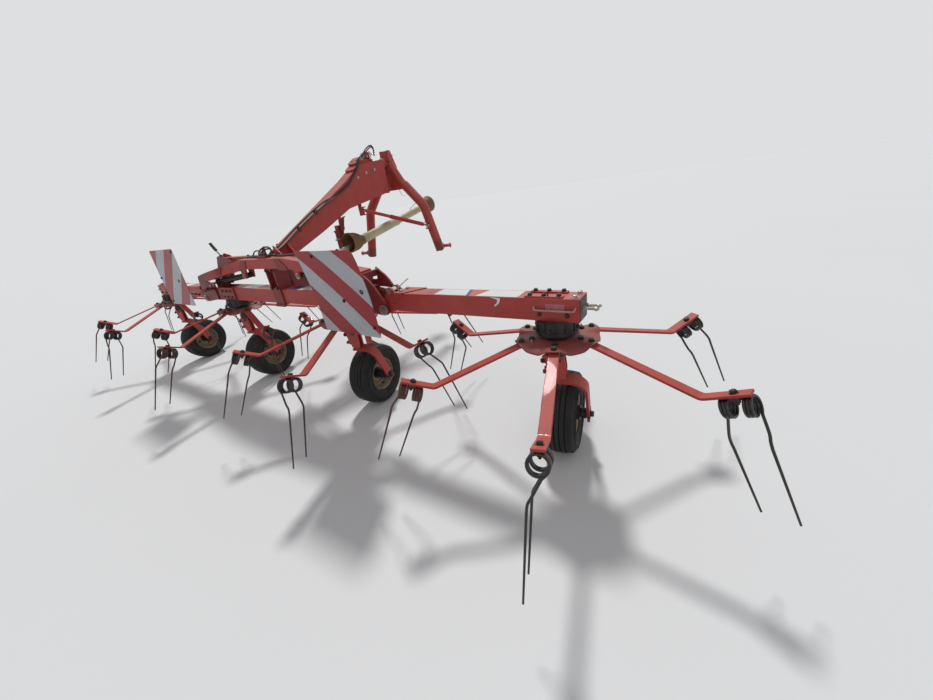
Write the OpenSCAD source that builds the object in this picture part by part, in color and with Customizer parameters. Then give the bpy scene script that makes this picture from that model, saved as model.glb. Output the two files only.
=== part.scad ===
// Hay tedder with four rotors, carried on a three-point linkage and folded by two cylinders.
// +X is the machine's right, +Y its way of travel, +Z up, in millimetres, with the ground at 0.

/* [Layout] */
// Distance from one rotor's axis to the next
rotor_pitch = 1320; // [1270:5:1400]
// Height of the rotor discs' top faces
disc_z = 657; // [640:1:680]
// Distance from the middle of the machine to each fold hinge
hinge_x = 1050; // [1030:5:1080]
// Height of the fold hinges' pins above the beams' undersides
hinge_lift = 5; // [0:1:15]
// Distance the outer beams reach past the outer rotors' axes
beam_overhang = 110; // [95:1:200]

/* [Beams] */
// Height of a beam's section
beam_h = 95; // [85:1:105]
// Width of an outer beam's section
wing_w = 100; // [94:1:110]
// Wall of the beams
beam_wall = 6; // [4:0.5:10]
// Height of the beams' undersides above the rotor discs
beam_lift = 73; // [60:1:90]
// Gap between an outer beam and the cheeks beside it
cheek_gap = 6; // [5:0.5:10]
// Thickness of a hinge cheek
cheek_t = 12; // [8:1:16]
// Diameter of a fold hinge's pin
hinge_pin_d = 30; // [24:1:36]

/* [Bridge] */
// Half length of the bridge's level top
bridge_flat = 270; // [200:5:320]
// Distance from the middle to the bridge's ends
bridge_end = 925; // [900:1:935]
// Height of the bridge's top face above the beams' top faces
bridge_rise = 210; // [200:1:240]
// Drop of the bridge's top face from its middle to its ends
bridge_drop = 95; // [80:1:110]
// Depth of the bridge's section
bridge_h = 64; // [58:1:66]
// Width of the bridge's section
bridge_w = 100; // [90:1:120]
// Distance the bridge's middle line lies behind the rotor line
bridge_back = 25; // [20:1:30]

/* [Rotors] */
// Radius of a rotor disc to its corners
disc_r = 182; // [165:1:200]
// Thickness of a rotor disc
disc_t = 8; // [6:1:12]
// Width of an arm's flat bar
arm_w = 42; // [30:1:50]
// Thickness of an arm's flat bar
arm_t = 10; // [8:1:12]
// Radius at which an arm bends up
arm_bend_r = 552; // [500:1:570]
// Drop of an arm from the disc to its bend
arm_drop = 108; // [80:1:130]
// Length of an arm's upturned end
arm_tip_len = 138; // [120:1:150]
// Slope of an arm's upturned end, in degrees
arm_tip_slope = 26; // [15:1:30]
// Angle of the first arm on the inner left and the outer right rotor
arm_phase_a = 44.5; // [42:0.5:47]
// Angle of the first arm on the outer left and the inner right rotor
arm_phase_b = 51.5; // [49:0.5:54]

/* [Tines] */
// Diameter of the tine wire
wire_d = 9; // [8:0.5:10]
// Outer radius of a tine's coil
coil_r = 36; // [32:1:40]
// Turns of wire in a coil
coil_turns = 3; // [2:1:4]
// Distance between the middles of a pair's two coils
coil_spacing = 58; // [54:1:66]
// Reach of the outer tine below its arm
tine_long = 418; // [390:1:430]
// Reach of the inner tine below its arm
tine_short = 388; // [360:1:410]
// Distance below the coil's middle at which a tine straightens
tine_knee = 100; // [70:1:130]
// Sideways slant of a tine down to its knee
tine_slant = 12; // [5:1:20]

/* [Wheels] */
// Diameter of a tyre
tyre_d = 406; // [380:1:420]
// Width of a tyre
tyre_w = 155; // [140:1:170]
// Diameter of a rim
rim_d = 214; // [200:1:230]
// Distance of a wheel's axle ahead of its swivel
wheel_lead = 95; // [60:1:110]
// Angle at which the wheels are set, in degrees
wheel_toe = 8; // [0:1:15]
// Gap between a tyre and the bar over it
tyre_gap = 44; // [35:1:55]

/* [Headstock] */
// Distance of the headstock's swing pin ahead of the rotor line
mast_y = 1270; // [1250:1:1300]
// Angle to which the headstock is swung, in degrees
mast_swing = 12; // [0:1:15]
// Distance of the headstock's bow ahead of its swing pin
bow_y = 75; // [75:1:90]
// Half distance between the lower link plates
link_half = 385; // [370:1:410]
// Height of the lower link pins
link_z = 815; // [780:1:860]
// Height of the top link pin above the lower link pins
mast_h = 690; // [660:1:720]
// Diameter of the headstock's tube
mast_tube = 70; // [60:1:80]
// Diameter of the lower link pins
link_pin_d = 28; // [22:0.1:36]
// Diameter of the top link pin's holes
top_pin_d = 25.5; // [19:0.1:32]

/* [Warning boards] */
// Side of a warning board
board_side = 423; // [400:1:430]
// Thickness of a warning board
board_t = 3; // [2:0.5:5]
// Distance from the middle to the left board's inner edge
board_in_left = 698; // [690:1:740]
// Distance from the middle to the right board's inner edge
board_in_right = 735; // [690:1:740]
// Height of the left board's lower edge above the rotor discs
board_lift_left = 78; // [15:1:90]
// Height of the right board's lower edge above the rotor discs
board_lift_right = 15; // [15:1:90]
// Distance of the boards behind the rotor line
board_back = 275; // [250:1:320]

/* [Hidden] */
$fn = 48;

red = "#c8443c";
dark_red = "#8e2f2a";
black = "#1d1d1f";
cream = "#cfc8a6";
steel = "#9b9b98";

run = 0.05;            // radial clearance of a pin that turns in its bore
seat = 0.3;            // gap between pieces of two bodies that lie on each other
arm_count = 6;
arm_step = 360 / arm_count;
rotor_x = [for (n = [-1.5, -0.5, 0.5, 1.5]) n * rotor_pitch];
rotor_turn = [-1, 1, -1, 1];
rotor_phase = [arm_phase_b, arm_phase_a, arm_phase_b, arm_phase_a];

beam_z0 = disc_z + beam_lift;
beam_z1 = beam_z0 + beam_h;
hinge_z = beam_z0 + hinge_lift;
core_w = wing_w + 2 * cheek_gap;   // the centre beam is as wide as the gap between the cheeks
cheek_y = core_w / 2;
core_gap = 160;                    // clear of the lugs when an outer beam is folded up
core_end = hinge_x - core_gap;
slot_x = 600;                      // from here out the centre beam is open above, for the cylinders
wing_gap = 80;                     // clear of the cylinder's rod when an outer beam is folded up
wing_in = hinge_x + wing_gap;
wing_out = rotor_x[3] + beam_overhang;
bridge_z = beam_z1 + bridge_rise;
bridge_end_z = bridge_z - bridge_drop;
bridge_rear = -bridge_back - bridge_w / 2;
bridge_front = -bridge_back + bridge_w / 2;

axle_r = 30;           // fixed tube that a rotor turns on
post_r = 19;           // post of a wheel leg, which turns in that tube
post_in = 82;          // length of the post inside the tube
axle_bottom = disc_z - 62;
hub_bottom = disc_z - 48;
flange_r = 84;
flange_gap = 12;

fold_y = -10;
fold_base = [330, bridge_z - bridge_h - 56];
fold_eye = [hinge_x + 45, hinge_z + 97];
fold_run = fold_eye - fold_base;
fold_len = norm(fold_run);
fold_angle = atan2(fold_run[1], fold_run[0]);
fold_pin_r = 11;
barrel_r = 21;
barrel_end = fold_len - 240;
rod_r = 12;
rod_in = 200;          // length of a rod inside its barrel
lug_gap = 21;          // half the gap between the two plates that hold a cylinder's eye
lug_t = 12;

bracket_x = bridge_end - 15;
cap_t = 6;             // plate that closes the bridge's end

tyre_r = tyre_d / 2;
leg_bar = 12;
leg_bar_w = 56;
leg_reach = tyre_r + tyre_gap + leg_bar;
leg_top = sqrt(pow(leg_reach, 2) - pow(wheel_lead, 2)) + tyre_r;
leg_tilt = asin(wheel_lead / leg_reach);
leg_x = tyre_w / 2 + 34;
leg_bend = 72;

bend_z = disc_z - disc_t - arm_drop;
tip_dir = [cos(arm_tip_slope), sin(arm_tip_slope)];
bolt_share = 0.66;
bolt_r = arm_bend_r + bolt_share * arm_tip_len * tip_dir[0];
bolt_z = bend_z + bolt_share * arm_tip_len * tip_dir[1];
wire_r = wire_d / 2;
coil_mid = coil_r - wire_r;
coil_in = coil_r - wire_d - 1;
coil_pitch = wire_d - 0.6;
coil_z = -arm_t / 2 - coil_r - 1;
tine_back = 6;         // how far a tine leans back from its knee to its tip

boom_w = 110;
boom_gap = 40;         // from the swing pin back to the boom's front face
boom_side = [[bridge_front, bridge_z - 70], [458, 1130], [742, 1252], [mast_y - boom_gap, 1338],
             [mast_y - boom_gap, 1596], [955, 1566], [780, 1457], [bridge_front, bridge_z + 10]];
swing_r = 16;
swing_low = 1376;
swing_high = 1540;
swing_t = 16;
swing_lug_r = 32;
mast_top = link_z + mast_h;
link_pin_len = 75;
link_pin_start = link_half + mast_tube / 2 + 6;   // end of the collar, from where a link pin is bare
link_collar_r = 24;
bow = [[28, 1560], [108, 1412], [290, 1190], [link_half, link_z - 30]];

gear_y = [cheek_y + 10, 200];
gear_z = 907;
pto_start = [0, 345, gear_z];
pto_rise = 10.5;
pto_len = 1550;
ball_r = 17;           // ball on the input shaft, inside the drive shaft's rear joint
yoke_r = 36;
guard_start = 350;
guard_end = pto_len - 40;
guard_r = 78;

stand_at = [-125, 725];
stand_w = 40;
stand_top = 1140;

stay_rear = [30, 900, 1225];
stay_pin_r = 7;
stay_ball_r = 12;      // ball on that pin, inside the stay's rear ring
stay_ring_r = 19;
stay_ring_h = 16;
stay_eye = [330, bow_y - mast_tube / 2 - 24, 1015];
stay_front = turned(stay_eye) + [0, mast_y, 0];
stay_len = norm(stay_front - stay_rear);
stay_yaw = atan2(stay_front[1] - stay_rear[1], stay_front[0] - stay_rear[0]);
stay_drop = asin((stay_rear[2] - stay_front[2]) / stay_len);
stay_tube_len = 0.55 * stay_len;

// A point of the headstock, swung about its pin
function turned(p) = [p[0] * cos(mast_swing) - p[1] * sin(mast_swing),
                      p[0] * sin(mast_swing) + p[1] * cos(mast_swing), p[2]];

// Where the tip of a rotor's outer tine lies, from that rotor's axis
tip_r = bolt_r + coil_spacing / 2 * tip_dir[0] + tine_long * tip_dir[1];
tip_t = -(coil_mid + tine_slant - tine_back);
function tip_xy(i, k) =
    let (a = rotor_phase[i] + k * arm_step, t = rotor_turn[i] * tip_t)
    [tip_r * cos(a) - t * sin(a), tip_r * sin(a) + t * cos(a)];
// Direction of that tine's last stretch, for the reach of its round end
tine_run = [0, tine_back, -(tine_long + coil_z - tine_knee)];
tine_dir = tine_run / norm(tine_run);
function tip_dir_xy(i, k) =
    let (a = rotor_phase[i] + k * arm_step, u = -tine_dir[2] * tip_dir[1], t = rotor_turn[i] * tine_dir[1])
    [u * cos(a) - t * sin(a), u * sin(a) + t * cos(a)];
function tip_reach(i, k, axis, sign) =
    let (d = tip_dir_xy(i, k)[axis])
    sign * (axis == 0 ? rotor_x[i] : 0) + sign * tip_xy(i, k)[axis] + wire_r * sqrt(1 - d * d);
function reach(axis, sign) = max([for (i = [0:3], k = [0:arm_count - 1]) tip_reach(i, k, axis, sign)]);

// The middle of the bounding box, over which the origin lies
front_y = pto_start[1] + pto_len * cos(pto_rise) + yoke_r * sin(pto_rise);
x0 = (reach(0, 1) - reach(0, -1)) / 2;
y0 = (front_y - reach(1, -1)) / 2;

// A round bar from one point to another
module bar(a, b, d) {
    v = b - a;
    translate(a)
        rotate([0, acos(v[2] / norm(v)), atan2(v[1], v[0])])
            cylinder(d = d, h = norm(v));
}

// A plate in the XZ plane, between two distances along Y
module plate_y(points, low, high) {
    translate([0, high, 0]) rotate([90, 0, 0]) linear_extrude(high - low) polygon(points);
}

// The same plate on either side of the machine
module side_plate(side, points, low, high) {
    plate_y([for (p = points) [side * p[0], p[1]]], low, high);
}

// A plate in the YZ plane, between two distances along X
module plate_x(points, low, high) {
    translate([low, 0, 0]) rotate([90, 0, 90]) linear_extrude(high - low) polygon(points);
}

// A cylinder along Y, centred
module pin_y(x, y, z, d, length) {
    translate([x, y, z]) rotate([90, 0, 0]) cylinder(d = d, h = length, center = true);
}

// A box with one low corner, given by its low and high corners
module box(low, high) {
    translate(low) cube(high - low);
}

module centre_beam() {
    color(red)
        difference() {
            box([-core_end, -cheek_y, beam_z0], [core_end, cheek_y, beam_z1]);
            box([-core_end - 1, beam_wall - cheek_y, beam_z0 + beam_wall],
                [core_end + 1, cheek_y - beam_wall, beam_z1 - beam_wall]);
            for (side = [-1, 1])
                box([side > 0 ? slot_x : -core_end - 1, beam_wall - cheek_y, beam_z0 + beam_wall],
                    [side > 0 ? core_end + 1 : -slot_x, cheek_y - beam_wall, beam_z1 + 1]);
        }
}

// The bent box over the centre beam that the boom and the cheeks are welded to
module bridge() {
    outline = [[bridge_end, bridge_end_z], [bridge_flat, bridge_z]];
    color(red) {
        plate_y([for (s = [1, -1], p = s > 0 ? outline : [outline[1], outline[0]]) [s * p[0], p[1]],
                 for (s = [-1, 1], p = s < 0 ? outline : [outline[1], outline[0]]) [s * p[0], p[1] - bridge_h]],
                bridge_rear, bridge_front);
        for (side = [-1, 1], near = [-1, 1])
            difference() {
                side_plate(side, [[fold_base[0] - 45, bridge_z - bridge_h + 4], [fold_base[0] + 30, bridge_z - bridge_h - 10],
                                  [fold_base[0] + 20, fold_base[1] - 20], [fold_base[0] - 20, fold_base[1] - 20]],
                           fold_y + near * (lug_gap + lug_t / 2) - lug_t / 2,
                           fold_y + near * (lug_gap + lug_t / 2) + lug_t / 2);
                pin_y(side * fold_base[0], fold_y, fold_base[1], 2 * fold_pin_r, 100);
            }
    }
    color(steel)
        for (side = [-1, 1])
            pin_y(side * fold_base[0], fold_y, fold_base[1], 2 * fold_pin_r, 2 * (lug_gap + lug_t) + 10);
}

// The box that ties the bridge to the centre beam, with a clamp round the beam
module centre_pillar() {
    mid = 60;
    half = 50;
    out = cheek_y + 10;
    color(dark_red) {
        difference() {
            box([mid - half, -out, beam_z1], [mid + half, bridge_front, bridge_z - bridge_h]);
            box([mid - half + 12, -out - 1, beam_z1 + 14], [mid + half - 12, bridge_front + 1, bridge_z - bridge_h - 14]);
        }
        for (low = [-out, cheek_y])
            box([mid - half, low, beam_z0 - 10], [mid + half, low + 10, beam_z1]);
        box([mid - half, -out, beam_z0 - 10], [mid + half, out, beam_z0]);
        box([mid - half, bridge_front - 1, beam_z1], [mid + half, out, beam_z1 + 10]);
    }
}

// Two plates that hold a fold hinge's pin, under the bridge's end and beside the centre beam
module hinge_cheeks() {
    edge = [[core_end - 60, beam_z0], [hinge_x - 24, hinge_z - 30], [hinge_x + 26, hinge_z - 26],
            [hinge_x + 30, hinge_z + 20], [hinge_x + 2, bridge_end_z - 38], [hinge_x - 20, bridge_end_z - 18],
            [bridge_end, bridge_end_z], [bridge_end, bridge_end_z - bridge_h], [core_end - 60, beam_z1 + 12]];
    color(dark_red)
        for (side = [-1, 1]) {
            side_plate(side, edge, -cheek_y - cheek_t, -cheek_y);
            side_plate(side, edge, cheek_y, cheek_y + cheek_t);
            box([side > 0 ? bridge_end : -bridge_end - cap_t, -cheek_y, bridge_end_z - 46],
                [side > 0 ? bridge_end + cap_t : -bridge_end, cheek_y, bridge_end_z - 12]);
            pin_y(side * hinge_x, 0, hinge_z, hinge_pin_d, core_w + 2 * cheek_t + 24);
        }
}

// A gearbox flange and the fixed tube that its rotor turns on
module rotor_gearbox(x) {
    translate([x, 0, 0])
        difference() {
            union() {
                translate([0, 0, disc_z + flange_gap]) cylinder(r = flange_r, h = beam_lift - flange_gap);
                translate([0, 0, axle_bottom]) cylinder(r = axle_r, h = beam_z0 - axle_bottom);
            }
            translate([0, 0, axle_bottom - 1]) cylinder(r = post_r + run, h = post_in + 9);
        }
}

module inner_gearboxes() {
    color(black) for (i = [1, 2]) rotor_gearbox(rotor_x[i]);
}

module centre_gearbox() {
    color(dark_red) {
        box([-75, gear_y[0], beam_z0 + 40], [75, gear_y[1], gear_z + 50]);
        translate([0, gear_y[1] - 1, gear_z]) rotate([-90, 0, 0]) cylinder(r = 46, h = 41);
        translate([0, gear_y[1] + 39, gear_z]) rotate([-90, 0, 0]) cylinder(r = 12, h = pto_start[1] - gear_y[1] - 39);
        translate(pto_start) sphere(r = ball_r);
    }
}

// A lug on the swing pin, reaching back or forward to a given distance
module swing_lug(z, back, front) {
    translate([0, 0, z]) cylinder(r = swing_lug_r, h = swing_t);
    box([-swing_lug_r, -back, z], [swing_lug_r, front, z + swing_t]);
}

module boom() {
    at = stay_rear;
    low = at[2] - 40;
    color(red) {
        plate_x(boom_side, -boom_w / 2, boom_w / 2);
        for (z = [swing_low, swing_high])
            difference() {
                translate([0, mast_y, 0]) swing_lug(z, boom_gap + 1, 0);
                translate([0, mast_y, z - 1]) cylinder(r = swing_r + run, h = swing_t + 2);
            }
        for (z = [low, at[2] + 18])
            box([at[0] - 18, at[1] - 32, z], [at[0] + 18, at[1] + 16, z + 8]);
        box([at[0] - 18, at[1] - 32, low], [at[0] + 18, at[1] - 24, 1290]);
        translate([at[0], at[1], low]) cylinder(r = stay_pin_r, h = 66);
        translate(at) sphere(r = stay_ball_r);
    }
}

// Rails either side of the boom's foot, with the plates that carry their outer ends
module front_bars() {
    near_y = 95;
    far_y = near_y + 50;
    low = bridge_z - 45;
    high = bridge_z - 3;
    color(red)
        for (side = [-1, 1]) {
            box([side > 0 ? boom_w / 2 : -bridge_end, near_y, low], [side > 0 ? bridge_end : -boom_w / 2, far_y, high]);
            plate_x([[cheek_y + cheek_t, bridge_end_z - 50], [far_y, low], [far_y, high + 8], [near_y, high + 8],
                     [cheek_y + cheek_t, bridge_end_z - 12]],
                    side > 0 ? bridge_end : -bridge_end - 10, side > 0 ? bridge_end + 10 : -bridge_end);
        }
}

module lock_lever() {
    foot = [-bridge_end - 5, 118, bridge_z + 8];
    color(black) bar(foot, foot + [-75, -10, 107], 12);
}

// The warning boards with the brackets that hold them behind the cheeks
module boards() {
    for (b = [[-1, board_in_left, board_lift_left], [1, board_in_right, board_lift_right]]) {
        low_x = b[0] > 0 ? b[1] : -b[1] - board_side;
        low_z = disc_z + b[2];
        color("#b3262b")
            box([low_x, -board_back - board_t, low_z], [low_x + board_side, -board_back, low_z + board_side]);
        color(dark_red)
            box([b[0] * bracket_x - 20, -board_back, beam_z1 - 10], [b[0] * bracket_x + 20, -cheek_y - cheek_t, beam_z1]);
    }
}

// Places a piece along the drive shaft, at a distance from its rear joint
module on_pto(t) {
    translate(pto_start) rotate([pto_rise - 90, 0, 0]) translate([0, 0, t]) children();
}

module pto_guard() {
    length = guard_end - guard_start;
    color(cream)
        on_pto(guard_start)
            rotate_extrude()
                polygon([[27, 100], [guard_r - 5, 0], [guard_r, 0], [guard_r - 4, 60], [50, 115], [33, 130],
                         [33, length - 130], [50, length - 115], [guard_r - 4, length - 60], [guard_r, length],
                         [guard_r - 5, length], [27, length - 100]]);
    color(black)
        on_pto(guard_start + length / 2 - 10)
            rotate_extrude() polygon([[20 + run, 0], [28, 0], [28, 20], [20 + run, 20]]);
}

module pto_shaft() {
    color(steel)
        on_pto(0)
            difference() {
                union() {
                    translate([0, 0, -16]) cylinder(r = yoke_r, h = 106);
                    cylinder(r = 20, h = pto_len);
                    translate([0, 0, pto_len - 90]) cylinder(r = yoke_r, h = 90);
                }
                translate([0, 0, -17]) cylinder(r = ball_r + run, h = 37);
            }
}

// The sleeve beside the boom that the parking leg slides in
module stand_sleeve() {
    w = stand_w / 2 + run;
    x = stand_at[0];
    out = w + 6;
    color(dark_red) {
        difference() {
            box([x - out, stand_at[1] - out, 930], [x + out, stand_at[1] + out, 1100]);
            box([x - w, stand_at[1] - w, 929], [x + w, stand_at[1] + w, 1101]);
        }
        plate_y([[x + out - 2, 1050], [-boom_w / 2, 1250], [-boom_w / 2, 1330], [-boom_w / 2 - 12, 1330], [x + out - 2, 1100]],
                stand_at[1] - 8, stand_at[1] + 8);
    }
}

module stand_leg() {
    w = stand_w / 2;
    color(red) {
        box([stand_at[0] - w, stand_at[1] - w, 11], [stand_at[0] + w, stand_at[1] + w, stand_top]);
        box([stand_at[0] - 2 * w, stand_at[1] - w, 0], [stand_at[0] + 2.5 * w, stand_at[1] + 5 * w, 12]);
    }
}

// Places a piece of the headstock, drawn with its swing pin at the origin
module on_mast() {
    translate([0, mast_y, 0]) rotate([0, 0, mast_swing]) children();
}

module headstock() {
    color(red)
        on_mast() {
            for (side = [-1, 1]) {
                for (n = [0:2])
                    bar([side * bow[n][0], bow_y, bow[n][1]], [side * bow[n + 1][0], bow_y, bow[n + 1][1]], mast_tube);
                for (n = [1, 2])
                    translate([side * bow[n][0], bow_y, bow[n][1]]) sphere(d = mast_tube + 2);
                translate([side * (link_half - 10), bow_y, link_z])
                    rotate([0, side * 90, 0]) {
                        cylinder(r = link_collar_r, h = link_pin_start - link_half + 10);
                        cylinder(d = link_pin_d, h = link_pin_start - link_half + 10 + link_pin_len);
                    }
                difference() {
                    plate_x([[bow_y - 10, 1400], [bow_y + 20, 1400], [bow_y + 100, mast_top - 30], [bow_y + 100, mast_top + 34],
                             [bow_y + 30, mast_top + 165], [bow_y - 10, mast_top + 165]], side * 34 - 6, side * 34 + 6);
                    translate([side * 34, bow_y + 72, mast_top]) rotate([0, 90, 0]) cylinder(d = top_pin_d, h = 40, center = true);
                }
            }
            for (z = [swing_low - seat - swing_t, swing_high + swing_t + seat]) swing_lug(z, 0, bow_y - 5);
            plate_y([[-125, 1345], [125, 1345], [60, 1470], [28, 1560], [-28, 1560], [-60, 1470]], bow_y - 6, bow_y + 6);
            translate([0, 0, swing_low - 40]) cylinder(r = swing_r, h = swing_high - swing_low + 92);
            for (z = [stay_eye[2] - 30, stay_eye[2] + 27])
                box([stay_eye[0] - 18, stay_eye[1] - 18, z], [stay_eye[0] + 14, bow_y, z + 12]);
        }
}

// Places a piece along the stay, from its rear eye towards the headstock's leg
module on_stay(t) {
    translate(stay_rear) rotate([0, 90 + stay_drop, stay_yaw]) translate([0, 0, t]) children();
}

module stay_tube() {
    color(red)
        difference() {
            union() {
                on_stay(15) cylinder(r = 13, h = stay_tube_len - 15);
                translate(stay_rear) cylinder(r = stay_ring_r, h = stay_ring_h, center = true);
            }
            translate(stay_rear) sphere(r = stay_ball_r + run);
            on_stay(50) cylinder(r = 8 + run, h = stay_len);
        }
}

module stay_rod() {
    color(steel) {
        on_stay(stay_tube_len - 150) cylinder(r = 8, h = stay_len - stay_tube_len + 150 - 8);
        translate(stay_front - [0, 0, 10]) cylinder(r = 17, h = 20);
    }
}

module wing_beam(side) {
    near_x = wing_in + 8;
    color(red) {
        box([side > 0 ? wing_in + 7 : -wing_out, -wing_w / 2, beam_z0], [side > 0 ? wing_out : -wing_in - 7, wing_w / 2, beam_z1]);
        difference() {
            union() {
                for (near = [-1, 1])
                    side_plate(side, [[hinge_x - 14, hinge_z - 20], [near_x, beam_z0 + 4], [near_x, beam_z1 - 4],
                                      [fold_eye[0] + 20, fold_eye[1] + 14], [fold_eye[0] + 6, fold_eye[1] + 22],
                                      [fold_eye[0] - 12, fold_eye[1] + 18], [fold_eye[0] - 20, fold_eye[1] + 4],
                                      [hinge_x - 26, hinge_z + 10]],
                               fold_y + near * (lug_gap + lug_t / 2) - lug_t / 2,
                               fold_y + near * (lug_gap + lug_t / 2) + lug_t / 2);
                pin_y(side * hinge_x, 0, hinge_z, 56, wing_w - 6);
                side_plate(side, [[hinge_x + 4, hinge_z - 26], [near_x, beam_z0 + 3], [near_x, hinge_z + 34], [hinge_x + 4, hinge_z + 26]],
                           -wing_w / 2 + 4, wing_w / 2 - 4);
            }
            pin_y(side * hinge_x, 0, hinge_z, hinge_pin_d + 2 * run, wing_w + 40);
        }
    }
}

module wing_gearbox(side) {
    color(black) rotor_gearbox(side * rotor_x[3]);
}

// Places a piece along a fold cylinder, from its base pin towards its eye
module on_fold(side) {
    translate([side * fold_base[0], fold_y, fold_base[1]])
        rotate([0, side * (90 - fold_angle), 0])
            children();
}

module fold_barrel(side) {
    eye_w = 2 * lug_gap - 12;
    color(black)
        on_fold(side)
            difference() {
                union() {
                    translate([0, 0, 34]) cylinder(r = barrel_r, h = barrel_end - 34);
                    translate([0, 0, 5]) cylinder(r = 14, h = 40);
                    rotate([90, 0, 0]) cylinder(r = 20, h = eye_w, center = true);
                }
                translate([0, 0, 70]) cylinder(r = rod_r + run, h = barrel_end);
                rotate([90, 0, 0]) cylinder(r = fold_pin_r + run, h = 60, center = true);
            }
}

module fold_rod(side) {
    eye_w = 2 * lug_gap - 12;
    color(steel)
        on_fold(side) {
            translate([0, 0, barrel_end - rod_in]) cylinder(r = rod_r, h = fold_len - barrel_end + rod_in - 8);
            translate([0, 0, fold_len]) rotate([90, 0, 0]) cylinder(r = 16, h = eye_w, center = true);
        }
}

// One flat-bar arm along +X, side view: level root under the disc, slope, upturned end
module arm() {
    root_z = disc_z - disc_t - arm_t / 2 + 1;
    knee = [arm_bend_r, bend_z];
    path = [[96, root_z], [disc_r - 34, root_z], knee, knee + arm_tip_len * tip_dir];
    h = [0, arm_t / 2];
    plate_y(concat([for (p = path) p + h], [for (n = [3:-1:0]) path[n] - h]), -arm_w / 2, arm_w / 2);
}

module rotor(i) {
    color(red)
        translate([rotor_x[i], 0, 0]) {
            difference() {
                union() {
                    translate([0, 0, disc_z - disc_t])
                        linear_extrude(disc_t)
                            polygon([for (k = [0:arm_count - 1], s = [-10, 10])
                                     let (a = rotor_phase[i] + k * arm_step + s) disc_r * [cos(a), sin(a)]]);
                    translate([0, 0, hub_bottom]) cylinder(r = 62, h = disc_z - hub_bottom);
                }
                translate([0, 0, hub_bottom - 1]) cylinder(r = axle_r + run, h = disc_z - hub_bottom + 2);
            }
            for (k = [0:arm_count - 1]) rotate([0, 0, rotor_phase[i] + k * arm_step]) arm();
        }
}

// Section of a coil, axis along Y: outer edge scalloped by its turns
function coil_section() = concat(
    [for (n = [0:coil_turns - 1])
        each [[coil_r - 2.2, (n - coil_turns / 2) * coil_pitch],
              [coil_r, (n - coil_turns / 2 + 0.3) * coil_pitch],
              [coil_r, (n - coil_turns / 2 + 0.7) * coil_pitch]]],
    [[coil_r - 2.2, coil_turns / 2 * coil_pitch], [coil_in, coil_turns / 2 * coil_pitch],
     [coil_in, -coil_turns / 2 * coil_pitch]]);

// One leg of a tine pair, in the frame of the arm's end: +X outward, -Z down
module tine(x, reach) {
    top = [x, -coil_mid, coil_z];
    knee = [x, -coil_mid - tine_slant, coil_z - tine_knee];
    end = [x, -coil_mid - tine_slant + tine_back, -reach];
    translate([x, 0, coil_z]) rotate([0, 90, 0]) rotate_extrude() polygon(coil_section());
    bar(top, knee, wire_d);
    translate(knee) sphere(d = wire_d + 1, $fn = 24);
    bar(knee, end, wire_d);
}

module tine_pair() {
    tine(coil_spacing / 2, tine_long);
    tine(-coil_spacing / 2, tine_short);
    translate([-coil_spacing / 2, 0, coil_z + coil_mid + 1])
        rotate([0, 90, 0]) cylinder(d = wire_d, h = coil_spacing);
}

module tines(i) {
    color(black)
        translate([rotor_x[i], 0, 0])
            for (k = [0:arm_count - 1])
                rotate([0, 0, rotor_phase[i] + k * arm_step])
                    translate([bolt_r, 0, bolt_z])
                        rotate([0, -arm_tip_slope, 0])
                            mirror([0, rotor_turn[i] < 0 ? 1 : 0, 0]) tine_pair();
}

// A wheel's own frame: origin under the swivel, +X along the axle
module at_wheel(i) {
    translate([rotor_x[i], 0, 0]) rotate([0, 0, wheel_toe]) children();
}

// Side view of the bar that comes down beside the tyre, from the post to the axle
function leg_side() =
    let (c = [leg_x + leg_bar - leg_bend, leg_reach - leg_bend])
    concat(
        [[-30, leg_reach]],
        [for (a = [90:-15:0]) c + leg_bend * [cos(a), sin(a)]],
        [[leg_x + leg_bar, -34], [leg_x, -34]],
        [for (a = [0:15:90]) c + (leg_bend - leg_bar) * [cos(a), sin(a)]],
        [[-30, leg_reach - leg_bar]]);

module wheel_leg(i) {
    post_low = leg_top - leg_bar;
    color(red)
        at_wheel(i) {
            translate([0, 0, post_low]) cylinder(r = post_r, h = axle_bottom + post_in - post_low);
            translate([0, 0, axle_bottom - 39]) cylinder(r = 36, h = 34);
            translate([0, wheel_lead, tyre_r]) rotate([leg_tilt, 0, 0]) {
                plate_y(leg_side(), -leg_bar_w / 2, leg_bar_w / 2);
                translate([20, 0, 0]) rotate([0, 90, 0]) cylinder(r = 14, h = leg_x - 18);
            }
        }
}

module tyre(i) {
    w = tyre_w / 2;
    half = [[rim_d / 2, w - 22], [rim_d / 2 + 12, w - 8], [rim_d / 2 + 45, w], [tyre_r - 28, w - 3],
            [tyre_r - 9, w - 18], [tyre_r, w - 42]];
    color(black)
        at_wheel(i)
            translate([0, wheel_lead, tyre_r])
                rotate([0, 90, 0])
                    rotate_extrude($fn = 72)
                        polygon(concat(half, [for (n = [5:-1:0]) [half[n][0], -half[n][1]]]));
}

module rim(i) {
    w = tyre_w / 2;
    r = rim_d / 2;
    color(cream)
        at_wheel(i)
            translate([0, wheel_lead, tyre_r])
                rotate([0, 90, 0])
                    rotate_extrude($fn = 72)
                        polygon([[14 + run, -40], [40, -40], [40, -6], [r - 12, -6], [r - 12, -w + 26], [r, -w + 22],
                                 [r, w - 22], [r - 12, w - 26], [r - 12, 0], [40, 0], [40, w + 26], [14 + run, w + 26]]);
}

// Everything stands with its bounding box's middle over the origin
module placed() {
    translate([-x0, -y0, 0]) children();
}

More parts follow.
